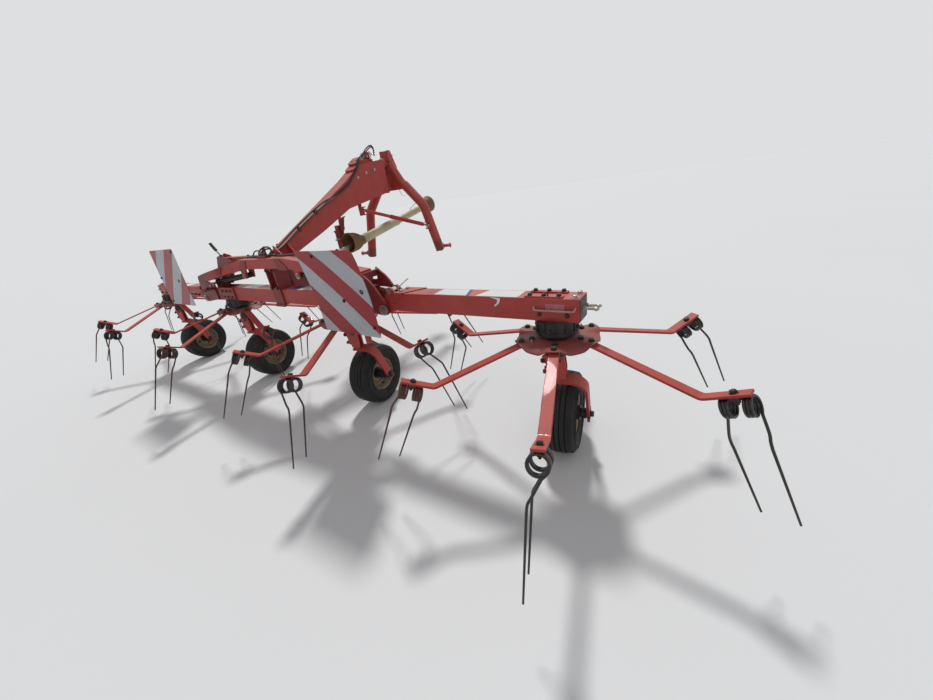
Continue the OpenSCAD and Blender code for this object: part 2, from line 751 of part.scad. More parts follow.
placed() centre_beam();
placed() bridge();
placed() centre_pillar();
placed() centre_gearbox();
placed() inner_gearboxes();
placed() boom();
placed() front_bars();
placed() lock_lever();
placed() boards();
placed() hinge_cheeks();
placed() pto_guard();
placed() pto_shaft();
placed() stand_sleeve();
placed() stand_leg();
placed() headstock();
placed() stay_tube();
placed() stay_rod();
for (side = [-1, 1]) {
    name = side < 0 ? "left" : "right";
    placed() wing_beam(side);
    placed() wing_gearbox(side);
    placed() fold_barrel(side);
    placed() fold_rod(side);
}
for (i = [0:3]) {
    placed() rotor(i);
    placed() tines(i);
    placed() wheel_leg(i);
    placed() tyre(i);
    placed() rim(i);
}
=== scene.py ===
"""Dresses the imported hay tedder: paint, coils, tread, bolts, boards, hoses and a plain studio."""

import math
import random

import bmesh
import bpy
from bpy.props import FloatProperty, FloatVectorProperty, IntProperty, PointerProperty
from mathutils import Matrix, Vector


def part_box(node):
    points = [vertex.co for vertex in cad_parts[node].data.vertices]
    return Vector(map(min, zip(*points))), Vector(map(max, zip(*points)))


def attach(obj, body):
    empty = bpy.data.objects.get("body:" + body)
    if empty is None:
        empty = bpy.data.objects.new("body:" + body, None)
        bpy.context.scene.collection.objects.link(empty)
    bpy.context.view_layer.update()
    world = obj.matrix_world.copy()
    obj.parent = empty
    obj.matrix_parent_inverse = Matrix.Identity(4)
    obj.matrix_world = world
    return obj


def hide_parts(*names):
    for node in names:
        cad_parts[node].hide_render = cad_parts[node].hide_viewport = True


bl_info = {
    "name": "Hay Tedder",
    "version": (1, 0, 0),
    "blender": (4, 5, 0),
    "location": "View3D > Sidebar > Hay Tedder",
    "description": "Dresses a folding hay tedder with its coils, treads, paint and fittings",
    "category": "Object",
}

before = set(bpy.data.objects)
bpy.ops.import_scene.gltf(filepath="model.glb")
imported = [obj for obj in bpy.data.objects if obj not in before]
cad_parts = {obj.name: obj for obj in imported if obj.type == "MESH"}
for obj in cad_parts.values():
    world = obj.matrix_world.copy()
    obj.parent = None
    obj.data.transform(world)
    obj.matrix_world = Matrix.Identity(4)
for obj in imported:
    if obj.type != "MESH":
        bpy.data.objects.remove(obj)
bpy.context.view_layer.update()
SIDES = (("left", -1), ("right", 1))
ROTORS = (1, 2, 3, 4)


def middle(node):
    lo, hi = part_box(node)
    return (lo + hi) / 2


# The machine is described about the point on the ground under its middle, on the rotors' line.
MIDDLE = Vector((middle("centre_beam").x, middle("centre_beam").y, 0))
PITCH = (middle("rim_4") - middle("rim_3")).x
DISC_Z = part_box("rotor_3")[1].z
BEAM_LOW, BEAM_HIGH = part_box("centre_beam")[0].z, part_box("centre_beam")[1].z
ROTOR_X = {i: (i - 2.5) * PITCH for i in ROTORS}
ROTOR_TURN = {1: -1, 2: 1, 3: -1, 4: 1}
ROTOR_PHASE = {1: 51.5, 2: 44.5, 3: 51.5, 4: 44.5}
ROTOR_BODY = {1: "wing_left", 2: "centre_frame", 3: "centre_frame", 4: "wing_right"}
WHEEL_TOE = 8
WHEEL_LEAD = 0.095
TYRE_R = middle("tyre_4").z
# Inner edge, lower edge and lean of each striped board.
BOARDS = {1: (0.741, DISC_Z - 0.004, 1.4), -1: (0.744, DISC_Z + 0.09, 0.2)}
BOARD_SIZE = 0.423
BOARD_HEIGHT = {1: 0.444, -1: 0.423}
# Width of a red and a white band together, measured along the board's edge.
BANDS = 0.306
STILL = Matrix.Identity(4)


def move(x, y, z):
    return Matrix.Translation((x, y, z))


def turn(degrees, axis):
    return Matrix.Rotation(math.radians(degrees), 4, axis)


# Stands an outline up, with its X along the machine, its Y upward and its thickness across.
LENGTHWISE = turn(90, "Z") @ turn(90, "X")


def mirrored(side, axis=0):
    """Keeps or swaps the sides of what follows, across X or Y."""
    return Matrix.Diagonal((side, 1, 1, 1) if axis == 0 else (1, side, 1, 1))


def rect(x0, y0, x1, y1):
    return [(x0, y0), (x1, y0), (x1, y1), (x0, y1)]


def placed(m=STILL):
    """A place on the machine, in the row frame."""
    return Matrix.Translation(MIDDLE) @ m


def facing(direction, at=(0, 0, 0)):
    """A place whose +Z looks along a direction."""
    return move(*at) @ Vector(direction).to_track_quat("Z", "Y").to_matrix().to_4x4()


# Profiles that close on their axis stop this far from it, so that no face collapses.
AXIS = 0.0001
# The finishes by name, filled by the Finishes operator.
MATS = {}


# Shapes

class Shape:
    """Collects rings, boxes, tubes and bolts into one mesh, with a material for each."""

    def __init__(self, place=STILL):
        self.place = place
        self.verts = []
        self.faces = []
        self.mats = []
        self.mat = 0

    def add(self, verts, faces, m=STILL):
        base = len(self.verts)
        whole = self.place @ m
        flip = whole.to_3x3().determinant() < 0
        self.verts += [whole @ Vector(v) for v in verts]
        for f in faces:
            f = [base + n for n in f]
            self.faces.append(f[::-1] if flip else f)
            self.mats.append(self.mat)
        return self

    def use(self, mat):
        self.mat = mat
        return self

    def box(self, lo, hi, m=STILL):
        (a, b, c), (d, e, f) = lo, hi
        v = [(a, b, c), (d, b, c), (d, e, c), (a, e, c), (a, b, f), (d, b, f), (d, e, f), (a, e, f)]
        q = [(3, 2, 1, 0), (4, 5, 6, 7), (0, 1, 5, 4), (1, 2, 6, 5), (2, 3, 7, 6), (3, 0, 4, 7)]
        return self.add(v, q, m)

    def prism(self, outline, low, high, m=STILL):
        """An outline in XY, drawn anticlockwise, raised from low to high along Z."""
        n = len(outline)
        v = [(x, y, low) for x, y in outline] + [(x, y, high) for x, y in outline]
        f = [tuple(range(n - 1, -1, -1)), tuple(range(n, 2 * n))]
        f += [(i, (i + 1) % n, n + (i + 1) % n, n + i) for i in range(n)]
        return self.add(v, f, m)

    def lathe(self, profile, m=STILL, parts=32, closed=True):
        """A profile of (radius, height) turned about Z. A closed one joins its end to its start."""
        n = len(profile)
        v = [
            (r * math.cos(t), r * math.sin(t), h)
            for t in [2 * math.pi * k / parts for k in range(parts)]
            for r, h in profile
        ]
        f = []
        for k in range(parts):
            a, b = k * n, (k + 1) % parts * n
            for i in range(n if closed else n - 1):
                j = (i + 1) % n
                f.append((a + i, b + i, b + j, a + j))
        if not closed:
            f.append(tuple(k * n for k in range(parts))[::-1])
            f.append(tuple(k * n + n - 1 for k in range(parts)))
        return self.add(v, f, m)

    def disk(self, radius, low, high, m=STILL, parts=32):
        return self.lathe([(AXIS, low), (radius, low), (radius, high), (AXIS, high)], m, parts)

    def ring(self, inner, outer, low, high, m=STILL, parts=32):
        return self.lathe([(inner, low), (outer, low), (outer, high), (inner, high)], m, parts)

    def tube(self, path, radius, m=STILL, sides=10):
        """A round wire or pipe along a path of points. radius may be a list."""
        p = [Vector(q) for q in path]
        n = len(p)
        radii = radius if isinstance(radius, (list, tuple)) else [radius] * n
        way = [(p[min(i + 1, n - 1)] - p[max(i - 1, 0)]).normalized() for i in range(n)]
        side = way[0].orthogonal().normalized()
        v = []
        for i in range(n):
            side = (side - way[i] * side.dot(way[i])).normalized()
            up = way[i].cross(side)
            for k in range(sides):
                t = 2 * math.pi * k / sides
                v.append(p[i] + (side * math.cos(t) + up * math.sin(t)) * radii[i])
        f = []
        for i in range(n - 1):
            for k in range(sides):
                a, b = i * sides + k, i * sides + (k + 1) % sides
                f.append((a, b, b + sides, a + sides))
        f.append(tuple(range(sides))[::-1])
        f.append(tuple((n - 1) * sides + k for k in range(sides)))
        return self.add(v, f, m)

    def strip(self, path, width, thick, m=STILL):
        """A flat bar along a path in XZ, its width along Y."""
        p = [Vector((a, 0, b)) for a, b in path]
        n = len(p)
        v = []
        for i in range(n):
            before = (p[i] - p[i - 1]).normalized() if i else (p[1] - p[0]).normalized()
            after = (p[i + 1] - p[i]).normalized() if i < n - 1 else before
            along = (before + after).normalized()
            up = Vector((-along.z, 0, along.x)) / max(0.5, along.dot(after))
            for s, h in ((-1, 0.5), (1, 0.5), (1, -0.5), (-1, -0.5)):
                v.append(p[i] + up * thick * h + Vector((0, s * width / 2, 0)))
        f = [(3, 2, 1, 0), tuple(4 * n - 4 + k for k in range(4))]
        for i in range(n - 1):
            for k in range(4):
                a, b = 4 * i + k, 4 * i + (k + 1) % 4
                f.append((a, b, b + 4, a + 4))
        return self.add(v, f, m)

    def bolt(self, m, across, head, washer=True, stud=0.0):
        """A hexagon head on its washer, rising along +Z."""
        r = across / 2 / math.cos(math.pi / 6)
        low = 0.0
        if washer:
            self.disk(across * 0.72, 0, 0.0018, m, 18)
            low = 0.0018
        rim = low + head * 0.82
        self.lathe([(r, low), (r, rim), (r * 0.86, low + head), (AXIS, low + head)], m, 6, False)
        if stud:
            s = across * 0.3
            self.lathe([(s, low), (s, low + head + stud - 0.002), (s * 0.8, low + head + stud)], m, 12,
                       False)
        return self

    def bolts(self, places, way=STILL, across=0.017, head=0.008):
        for at in places:
            self.bolt(move(*at) @ way, across, head)

    def make(self, name, mats, body, bevel=0.0, slot=None, replaces=(), angle=35):
        me = bpy.data.meshes.new(name)
        me.from_pydata([tuple(v) for v in self.verts], [], self.faces)
        for key in mats:
            me.materials.append(MATS[key])
        me.polygons.foreach_set("material_index", self.mats)
        me.update()
        bm = bmesh.new()
        bm.from_mesh(me)
        bmesh.ops.recalc_face_normals(bm, faces=bm.faces)
        for e in bm.edges:
            e.smooth = e.is_manifold and e.calc_face_angle(0) < math.radians(angle)
        for f in bm.faces:
            f.smooth = True
        bm.to_mesh(me)
        bm.free()
        o = bpy.data.objects.new(name, me)
        bpy.context.scene.collection.objects.link(o)
        if bevel:
            soften(o, bevel)
        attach(o, body)
        if replaces:
            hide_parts(*replaces)
        return o


def soften(o, width):
    """Rounds an object's edges, and keeps its flats flat."""
    b = o.modifiers.new("edges", "BEVEL")
    b.width, b.segments, b.limit_method, b.angle_limit = width, 2, "ANGLE", math.radians(30)
    o.modifiers.new("flats", "WEIGHTED_NORMAL").keep_sharp = True


def arc(centre, radius, start, end, steps):
    """Points of an arc, in degrees."""
    return [
        (centre[0] + radius * math.cos(math.radians(start + (end - start) * k / steps)),
         centre[1] + radius * math.sin(math.radians(start + (end - start) * k / steps)))
        for k in range(steps + 1)
    ]


def smooth_path(points, steps):
    """A path through the points with rounded turns."""
    p = [Vector(q) for q in points]
    out = []
    for i in range(len(p) - 1):
        a, b, c, d = p[max(i - 1, 0)], p[i], p[i + 1], p[min(i + 2, len(p) - 1)]
        for k in range(steps):
            t = k / steps
            out.append(
                0.5 * ((2 * b) + (c - a) * t + (2 * a - 5 * b + 4 * c - d) * t**2
                       + (3 * b - a - 3 * c + d) * t**3)
            )
    return out + [p[-1]]


# Materials

def node(tree, kind, inputs=None, **attrs):
    """A new node. An input is given as a value or as the socket that feeds it."""
    n = tree.nodes.new(kind)
    for key, value in attrs.items():
        setattr(n, key, value)
    for key, value in (inputs or {}).items():
        if isinstance(value, bpy.types.NodeSocket):
            tree.links.new(value, n.inputs[key])
        else:
            n.inputs[key].default_value = value
    return n


def group(tree, name, inputs):
    return node(tree, "ShaderNodeGroup", inputs, node_tree=bpy.data.node_groups[name])


def maths(tree, operation, a, b=0.0, clamp=False):
    n = node(tree, "ShaderNodeMath", {0: a, 1: b}, operation=operation, use_clamp=clamp)
    return n.outputs[0]


def times(tree, a, b, clamp=False):
    return maths(tree, "MULTIPLY", a, b, clamp)


def plus(tree, a, b, clamp=False):
    return maths(tree, "ADD", a, b, clamp)


def ramp(tree, value, low, high, to_low=0.0, to_high=1.0):
    n = node(tree, "ShaderNodeMapRange", {0: value, 1: low, 2: high, 3: to_low, 4: to_high})
    return n.outputs[0]


def blend(tree, factor, a, b, mode="MIX"):
    n = node(tree, "ShaderNodeMix", {0: factor, 6: a, 7: b}, data_type="RGBA", blend_type=mode)
    return n.outputs[2]


def noise(tree, coords, scale, detail=4.0, rough=0.55):
    n = node(tree, "ShaderNodeTexNoise",
             {"Vector": coords, "Scale": scale, "Detail": detail, "Roughness": rough})
    return n.outputs[0]


def grey(tree, value):
    return node(tree, "ShaderNodeCombineColor", {0: value, 1: value, 2: value}).outputs[0]


def new_group(name, inputs, outputs):
    """A shader node group with typed sockets, and its input and output nodes."""
    tree = bpy.data.node_groups.new(name, "ShaderNodeTree")
    kinds = {"color": "NodeSocketColor", "float": "NodeSocketFloat"}
    for label, kind in inputs:
        tree.interface.new_socket(label, in_out="INPUT", socket_type=kinds[kind])
    for label, kind in outputs:
        tree.interface.new_socket(label, in_out="OUTPUT", socket_type=kinds[kind])
    return tree, tree.nodes.new("NodeGroupInput").outputs, tree.nodes.new("NodeGroupOutput").inputs


def edge_wear_group():
    """Where the finish is rubbed off: along edges, broken up by noise."""
    t, i, o = new_group("Edge wear", [("Radius", "float"), ("Amount", "float")], [("Mask", "float")])
    soft = node(t, "ShaderNodeBevel", {"Radius": i["Radius"]}, samples=4).outputs[0]
    hard = node(t, "ShaderNodeNewGeometry").outputs["Normal"]
    dot = node(t, "ShaderNodeVectorMath", {0: soft, 1: hard}, operation="DOT_PRODUCT")
    edge = ramp(t, dot.outputs["Value"], 0.995, 0.86)
    coords = node(t, "ShaderNodeTexCoord").outputs["Object"]
    broken = times(t, edge, ramp(t, noise(t, coords, 34.0, 8.0, 0.7), 0.44, 0.62))
    t.links.new(times(t, broken, i["Amount"], True), o["Mask"])
    return t


def weathering_group():
    """Old enamel: paler on up-facing faces from sun bleach and a painted highlight, dusty, chipped and
    speckled with rust.
    """
    t, i, o = new_group(
        "Weathered enamel",
        [("Paint", "color"), ("Bleached and lit", "color"), ("Rust", "color"), ("Dust", "color"),
         ("Bleaching and highlight", "float"), ("Rusting", "float"), ("Dusting", "float"), ("Edge", "float"),
         ("Wear", "float")],
        [("Color", "color"), ("Roughness", "float"), ("Height", "float")],
    )
    tc = node(t, "ShaderNodeTexCoord")
    coords = tc.outputs["Object"]
    up = ramp(t, node(t, "ShaderNodeSeparateXYZ", {0: tc.outputs["Normal"]}).outputs[2], -0.2, 1.0)
    cloud = noise(t, coords, 3.2, 6.0, 0.6)
    fine = noise(t, coords, 90.0, 6.0, 0.65)
    grain = noise(t, coords, 420.0, 2.0)
    # Paler on up-facing faces, in blotches: partly sun bleach, partly a painted highlight on the tops where
    # the light falls.
    bleached_and_lit_tops = times(t, plus(t, times(t, up, 0.88), 0.12), ramp(t, cloud, 0.3, 0.7, 0.45, 1.0))
    c = blend(t, times(t, bleached_and_lit_tops, i["Bleaching and highlight"], True), i["Paint"], i["Bleached and lit"])
    shade = ramp(t, noise(t, coords, 14.0, 5.0), 0.25, 0.75, 0.86, 1.1)
    c = blend(t, 1.0, c, grey(t, shade), "MULTIPLY")
    stretch = node(t, "ShaderNodeVectorMath", {0: coords, 1: (2.0, 40.0, 40.0)},
                   operation="MULTIPLY").outputs[0]
    scratch = ramp(t, noise(t, stretch, 2.2, 3.0), 0.66, 0.7)
    spots = ramp(t, fine, 0.64, 0.69)
    patch = ramp(t, noise(t, coords, 7.0, 4.0), 0.46, 0.66)
    rust = times(t, plus(t, spots, times(t, scratch, 0.5), True), patch)
    rust = times(t, rust, i["Rusting"], True)
    wear = group(t, "Edge wear", {"Radius": i["Edge"], "Amount": i["Wear"]})
    rust = maths(t, "MAXIMUM", rust, wear.outputs["Mask"])
    rusty = blend(t, ramp(t, fine, 0.35, 0.65), i["Rust"], (0.055, 0.026, 0.016, 1))
    c = blend(t, rust, c, rusty)
    lying = times(t, up, ramp(t, noise(t, coords, 5.0, 8.0, 0.7), 0.42, 0.72))
    lying = times(t, lying, i["Dusting"], True)
    c = blend(t, lying, c, i["Dust"])
    t.links.new(c, o["Color"])
    rough = plus(t, times(t, rust, 0.35), ramp(t, cloud, 0.3, 0.7, 0.36, 0.52))
    t.links.new(plus(t, rough, times(t, lying, 0.3), True), o["Roughness"])
    height = plus(t, times(t, grain, 0.12), times(t, rust, -0.7))
    t.links.new(plus(t, height, times(t, fine, 0.18)), o["Height"])
    return t


def grime_group():
    """Dirt and dust in blotches, for rubber, wire and plastic."""
    t, i, o = new_group(
        "Grime", [("Clean", "color"), ("Dirt", "color"), ("Scale", "float"), ("Amount", "float")],
        [("Color", "color"), ("Mask", "float"), ("Height", "float")],
    )
    coords = node(t, "ShaderNodeTexCoord").outputs["Object"]
    scaled = node(t, "ShaderNodeVectorMath", {0: coords, "Scale": i["Scale"]}, operation="SCALE").outputs[0]
    big = noise(t, scaled, 6.0, 7.0, 0.65)
    small = noise(t, scaled, 70.0, 5.0, 0.6)
    mask = times(t, ramp(t, big, 0.38, 0.72), ramp(t, small, 0.25, 0.7, 0.4, 1.0))
    mask = times(t, mask, i["Amount"], True)
    t.links.new(blend(t, mask, i["Clean"], i["Dirt"]), o["Color"])
    t.links.new(mask, o["Mask"])
    t.links.new(plus(t, times(t, small, 0.5), times(t, big, 0.3)), o["Height"])
    return t


def start_material(name, metallic=0.0, coat=0.0, **inputs):
    mat = bpy.data.materials.new(name)
    mat.use_nodes = True
    t = mat.node_tree
    shader = t.nodes["Principled BSDF"]
    shader.inputs["Metallic"].default_value = metallic
    shader.inputs["Coat Weight"].default_value = coat
    for key, value in inputs.items():
        shader.inputs[key.replace("_", " ")].default_value = value
    return mat, t, shader


def bump(t, shader, height, distance, strength=0.6):
    b = node(t, "ShaderNodeBump", {"Height": height, "Distance": distance, "Strength": strength})
    t.links.new(b.outputs[0], shader.inputs["Normal"])


def enamel(name, paint, bleached_and_lit, bleaching_and_highlight, rusting, dusting, wear, edge=0.004, shine=0.32):
    mat, t, shader = start_material(name, coat=0.06, Specular_IOR_Level=shine)
    # The pale colour and its amount stand for sun bleach and for a painted highlight on up-facing faces.
    g = group(t, "Weathered enamel", {
        "Paint": (*paint, 1), "Bleached and lit": (*bleached_and_lit, 1), "Rust": (0.16, 0.055, 0.024, 1),
        "Dust": (0.42, 0.36, 0.29, 1), "Bleaching and highlight": bleaching_and_highlight, "Rusting": rusting, "Dusting": dusting,
        "Edge": edge, "Wear": wear,
    })
    t.links.new(g.outputs["Color"], shader.inputs["Base Color"])
    t.links.new(g.outputs["Roughness"], shader.inputs["Roughness"])
    bump(t, shader, g.outputs["Height"], 0.0009)
    return mat


def grimy(name, clean, dirt, scale, amount, low, high, metallic=0.0, depth=0.0008, **inputs):
    """Rubber, plastic, bare or chromed steel with dirt in blotches."""
    mat, t, shader = start_material(name, metallic=metallic, **inputs)
    g = group(t, "Grime", {"Clean": (*clean, 1), "Dirt": (*dirt, 1), "Scale": scale, "Amount": amount})
    t.links.new(g.outputs["Color"], shader.inputs["Base Color"])
    t.links.new(ramp(t, g.outputs["Mask"], 0.0, 1.0, low, high), shader.inputs["Roughness"])
    bump(t, shader, g.outputs["Height"], depth)
    return mat


def board_material(name, side, red, white):
    """Diagonal bands of reflecting sheet, counted from the outer top corner."""
    inner, low = BOARDS[side][:2]
    corner = inner + BOARD_SIZE + low + BOARD_HEIGHT[side] + side * MIDDLE.x
    mat, t, shader = start_material(name, coat=0.05, Specular_IOR_Level=0.3)
    coords = node(t, "ShaderNodeTexCoord").outputs["Object"]
    p = node(t, "ShaderNodeSeparateXYZ", {0: coords})
    along = plus(t, times(t, p.outputs[0], float(side)), p.outputs[2])
    turns = maths(t, "DIVIDE", maths(t, "SUBTRACT", corner + 0.018, along), BANDS)
    band = maths(t, "FRACT", plus(t, turns, 0.25))
    edge = ramp(t, maths(t, "ABSOLUTE", maths(t, "SUBTRACT", band, 0.5)), 0.248, 0.252)
    cells = node(t, "ShaderNodeTexVoronoi", {"Vector": coords, "Scale": 260.0}).outputs[0]
    c = blend(t, edge, (*red, 1), (*white, 1))
    c = blend(t, ramp(t, cells, 0.0, 0.6, 0.0, 0.12), c, (0.02, 0.02, 0.02, 1))
    g = group(t, "Grime", {"Clean": c, "Dirt": (0.12, 0.07, 0.06, 1), "Scale": 1.6, "Amount": 0.2})
    t.links.new(g.outputs["Color"], shader.inputs["Base Color"])
    t.links.new(ramp(t, g.outputs["Mask"], 0.0, 0.5, 0.28, 0.6), shader.inputs["Roughness"])
    bump(t, shader, cells, 0.0003, 0.3)
    return mat


def paint(name, *nodes):
    for key in nodes:
        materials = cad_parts[key].data.materials
        materials.clear()
        materials.append(MATS[name])


# Settings

def colour(label, text, value):
    return FloatVectorProperty(name=label, description=text, subtype="COLOR", size=3, min=0, max=1,
            default=value)


class FinishSettings(bpy.types.PropertyGroup):
    """Colours and wear of the finishes"""

    red: colour("Red enamel", "Colour of the paint where it isn't bleached", (0.36, 0.026, 0.021))
    # Paler paint for up-facing faces: partly sun bleach, partly a painted highlight on the lit tops.
    bleached_and_lit: colour("Bleached enamel", "Colour of the paint where the sun has bleached it",
                     (0.6, 0.15, 0.122))
    # Painted shade: a darker copy of the red paint, for the parts that lie in shade inside the hinges and
    # under the bridge.
    dark: colour("Dark enamel", "Colour of the paint inside the hinges and under the bridge",
                 (0.2, 0.02, 0.017))
    rim: colour("Rim enamel", "Colour of the wheel rims", (0.27, 0.21, 0.12))
    guard: colour("Guard plastic", "Colour of the drive shaft's guard", (0.52, 0.47, 0.3))
    board_red: colour("Board red", "Colour of the boards' red bands", (0.36, 0.012, 0.018))
    # Painted shade: the pale bands are a dim blue-grey, the look of the white sheet in skylit shade.
    board_white: colour("Board white", "Colour of the boards' pale bands", (0.47, 0.49, 0.53))
    wear: FloatProperty(name="Wear", description="How far edges are rubbed to rust", min=0, max=1,
                        default=0.75)


class TineSettings(bpy.types.PropertyGroup):
    """Sizes of the tines' coils"""

    wire: FloatProperty(name="Wire", description="Diameter of the wire", unit="LENGTH", default=0.009)
    coil: FloatProperty(name="Coil radius", description="From the coil's axis to the wire's middle",
                        unit="LENGTH", default=0.0315)
    turns: IntProperty(name="Turns", description="Full turns in each coil", min=2, max=4, default=3)


class TyreSettings(bpy.types.PropertyGroup):
    """Sizes of the tyres' tread"""

    ribs: IntProperty(name="Ribs", description="Ribs across the tread", min=3, max=7, default=5)
    groove: FloatProperty(name="Groove depth", description="Depth of the grooves between the ribs",
            unit="LENGTH", default=0.007)


def settings(name):
    return getattr(bpy.context.scene, "tedder_" + name)


class Piece:
    """What every operator here shares."""

    bl_options = {"REGISTER", "UNDO"}

    def execute(self, context):
        self.build()
        return {"FINISHED"}


class TEDDER_OT_finishes(Piece, bpy.types.Operator):
    """Makes the paints, metals, rubbers and plastics"""

    bl_idname = "tedder.finishes"
    bl_label = "Finishes"

    def build(self):
        f = settings("finish")
        edge_wear_group()
        weathering_group()
        grime_group()
        red, pale, dark, rust = tuple(f.red), tuple(f.bleached_and_lit), tuple(f.dark), (0.14, 0.05, 0.024)
        enamels = {
            "red": ("red enamel", {}, red, pale, 0.85, 0.55, 0.2, f.wear),
            "arm": ("arm enamel", dict(edge=0.003, shine=0.15), red, pale, 0.65, 0.4, 0.1, f.wear),
            "worn red": ("worn enamel", dict(edge=0.008), (0.2, 0.04, 0.025), (0.3, 0.12, 0.08), 0.5, 1.0,
                         0.5, 1.0),
            "dark red": ("shaded enamel", {}, dark, red, 0.6, 0.9, 0.3, f.wear),
            "disc": ("disc enamel", {}, (0.2, 0.035, 0.03), (0.36, 0.092, 0.078), 0.7, 0.8, 0.2, f.wear),
            "black": ("black enamel and hole shade", {}, (0.014, 0.014, 0.015), (0.05, 0.045, 0.042), 0.4, 0.5, 0.4, 0.4),
            "cream rim": ("rim enamel", {}, tuple(f.rim), (0.46, 0.4, 0.28), 0.5, 0.9, 0.2, 0.9),
        }
        grimes = {
            "wire": ("spring wire", dict(depth=0.0004), (0.012, 0.012, 0.013), (0.06, 0.03, 0.02), 4.0, 0.5,
                     0.3, 0.6),
            "rusty wire": ("rusty spring wire", dict(depth=0.0005), (0.05, 0.022, 0.017), rust, 4.0, 0.9,
                           0.55, 0.85),
            "zinc": ("zinc plate", {}, (0.42, 0.4, 0.36), (0.2, 0.12, 0.07), 6.0, 0.5, 0.3, 0.6, 0.9,
                     0.0003),
            "dark bolt": ("blackened bolts", {}, (0.03, 0.027, 0.026), rust, 6.0, 0.6, 0.45, 0.8, 0.5,
                          0.0003),
            "steel": ("bare steel", {}, (0.33, 0.31, 0.29), rust, 2.0, 0.7, 0.35, 0.75, 0.85, 0.0004),
            "rust": ("rusted steel", {}, (0.3, 0.115, 0.03), (0.09, 0.04, 0.02), 3.0, 0.9, 0.7, 0.95, 0.2,
                     0.0012),
            "chrome": ("cylinder rod", {}, (0.75, 0.75, 0.76), (0.4, 0.3, 0.25), 2.0, 0.25, 0.1, 0.4, 1.0,
                       0.0001),
            "rubber": ("tyre rubber", dict(Specular_IOR_Level=0.25), (0.011, 0.011, 0.012),
                       (0.1, 0.088, 0.072), 1.4, 0.42, 0.6, 0.95),
            "hose": ("hose rubber", {}, (0.012, 0.012, 0.013), (0.07, 0.06, 0.05), 3.0, 0.4, 0.4, 0.75),
            "grip": ("grip rubber", {}, (0.01, 0.01, 0.01), (0.05, 0.045, 0.04), 3.0, 0.4, 0.5, 0.8),
            "guard": ("guard plastic", {}, tuple(f.guard), (0.22, 0.17, 0.1), 1.5, 0.7, 0.45, 0.8),
            "bell": ("dark brown bell", dict(Specular_IOR_Level=0.3), (0.19, 0.12, 0.06), (0.09, 0.035, 0.014),
                     2.2, 0.9, 0.6, 0.9),
            "sheet": ("blank sheet", dict(depth=0.0002), (0.74, 0.75, 0.75), (0.45, 0.36, 0.3), 1.6, 0.35,
                      0.35, 0.6),
            "band": ("blue edging", dict(depth=0.0002), (0.02, 0.04, 0.16), (0.1, 0.1, 0.12), 1.6, 0.3, 0.35,
                     0.6),
            "label": ("worn label", dict(depth=0.0002), (0.5, 0.16, 0.2), (0.25, 0.06, 0.07), 8.0, 0.8, 0.4,
                      0.7),
            "rod": ("pale rod", dict(depth=0.0003), (0.5, 0.3, 0.25), rust, 5.0, 0.45, 0.4, 0.7),
            "end": ("end cap", dict(depth=0.0004), (0.075, 0.062, 0.036), (0.02, 0.017, 0.014), 4.0, 0.6,
                    0.5, 0.8),
        }
        for key, (name, more, *rest) in enamels.items():
            MATS[key] = enamel(name, *rest, **more)
        for key, (name, more, *rest) in grimes.items():
            MATS[key] = grimy(name, *rest, **more)
        for name, side in reversed(SIDES):
            MATS["board " + name] = board_material(name + " board", side, f.board_red, f.board_white)


# Pieces

# Radius of the edges of the folded boxes and plates, by node.
ROUNDED = {
    "centre_beam": 0.004, "bridge": 0.004, "wing_beam_left": 0.004, "wing_beam_right": 0.004,
    "centre_gearbox": 0.005, "boom": 0.0035, "centre_pillar": 0.003, "front_bars": 0.003, "stand_leg": 0.003,
    "hinge_cheeks": 0.002, "stand_sleeve": 0.002,
}


class TEDDER_OT_bodywork(Piece, bpy.types.Operator):
    """Paints the solids that are carried over from the frame"""

    bl_idname = "tedder.bodywork"
    bl_label = "Bodywork"

    def build(self):
        table = {
            "red": ["centre_beam", "bridge", "boom", "front_bars", "stand_leg", "headstock", "stay_tube",
                    "wing_beam_left", "wing_beam_right"] + [f"wheel_leg_{i}" for i in ROTORS],
            "dark red": ["centre_pillar", "hinge_cheeks", "centre_gearbox", "stand_sleeve"],
            "black": ["inner_gearboxes", "wing_gearbox_left", "wing_gearbox_right", "fold_barrel_left",
                      "fold_barrel_right"],
            "steel": ["pto_shaft", "stay_rod"],
            "chrome": ["fold_rod_left", "fold_rod_right"],
            "guard": ["pto_guard"],
            "grip": ["lock_lever"],
            "cream rim": [f"rim_{i}" for i in ROTORS],
            "rubber": [f"tyre_{i}" for i in ROTORS],
            "wire": [f"tines_{i}" for i in ROTORS],
            "arm": [f"rotor_{i}" for i in ROTORS],
        }
        for name, nodes in table.items():
            paint(name, *nodes)
        paint("red", "boards")
        for name, width in ROUNDED.items():
            soften(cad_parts[name], width)


ARM_T, ARM_W, DISC_T = 0.01, 0.042, 0.008
TIP_LEN, TIP_SLOPE = 0.138, 26
# In the plane of radius and height: where an arm leaves the disc, bends and carries its tine.
ROOT_Z = DISC_Z - DISC_T - ARM_T / 2 + 0.001
START = Vector((0.148, ROOT_Z))
KNEE = Vector((0.552, DISC_Z - DISC_T - 0.108))
TIP_WAY = Vector((math.cos(math.radians(TIP_SLOPE)), math.sin(math.radians(TIP_SLOPE))))
TINE_AT = KNEE + 0.66 * TIP_LEN * TIP_WAY
TINE_PLACE = move(TINE_AT.x, 0, TINE_AT.y) @ turn(-TIP_SLOPE, "Y")


def rotor_place(i, k=0):
    return placed(move(ROTOR_X[i], 0, 0) @ turn(ROTOR_PHASE[i] + 60 * k, "Z"))


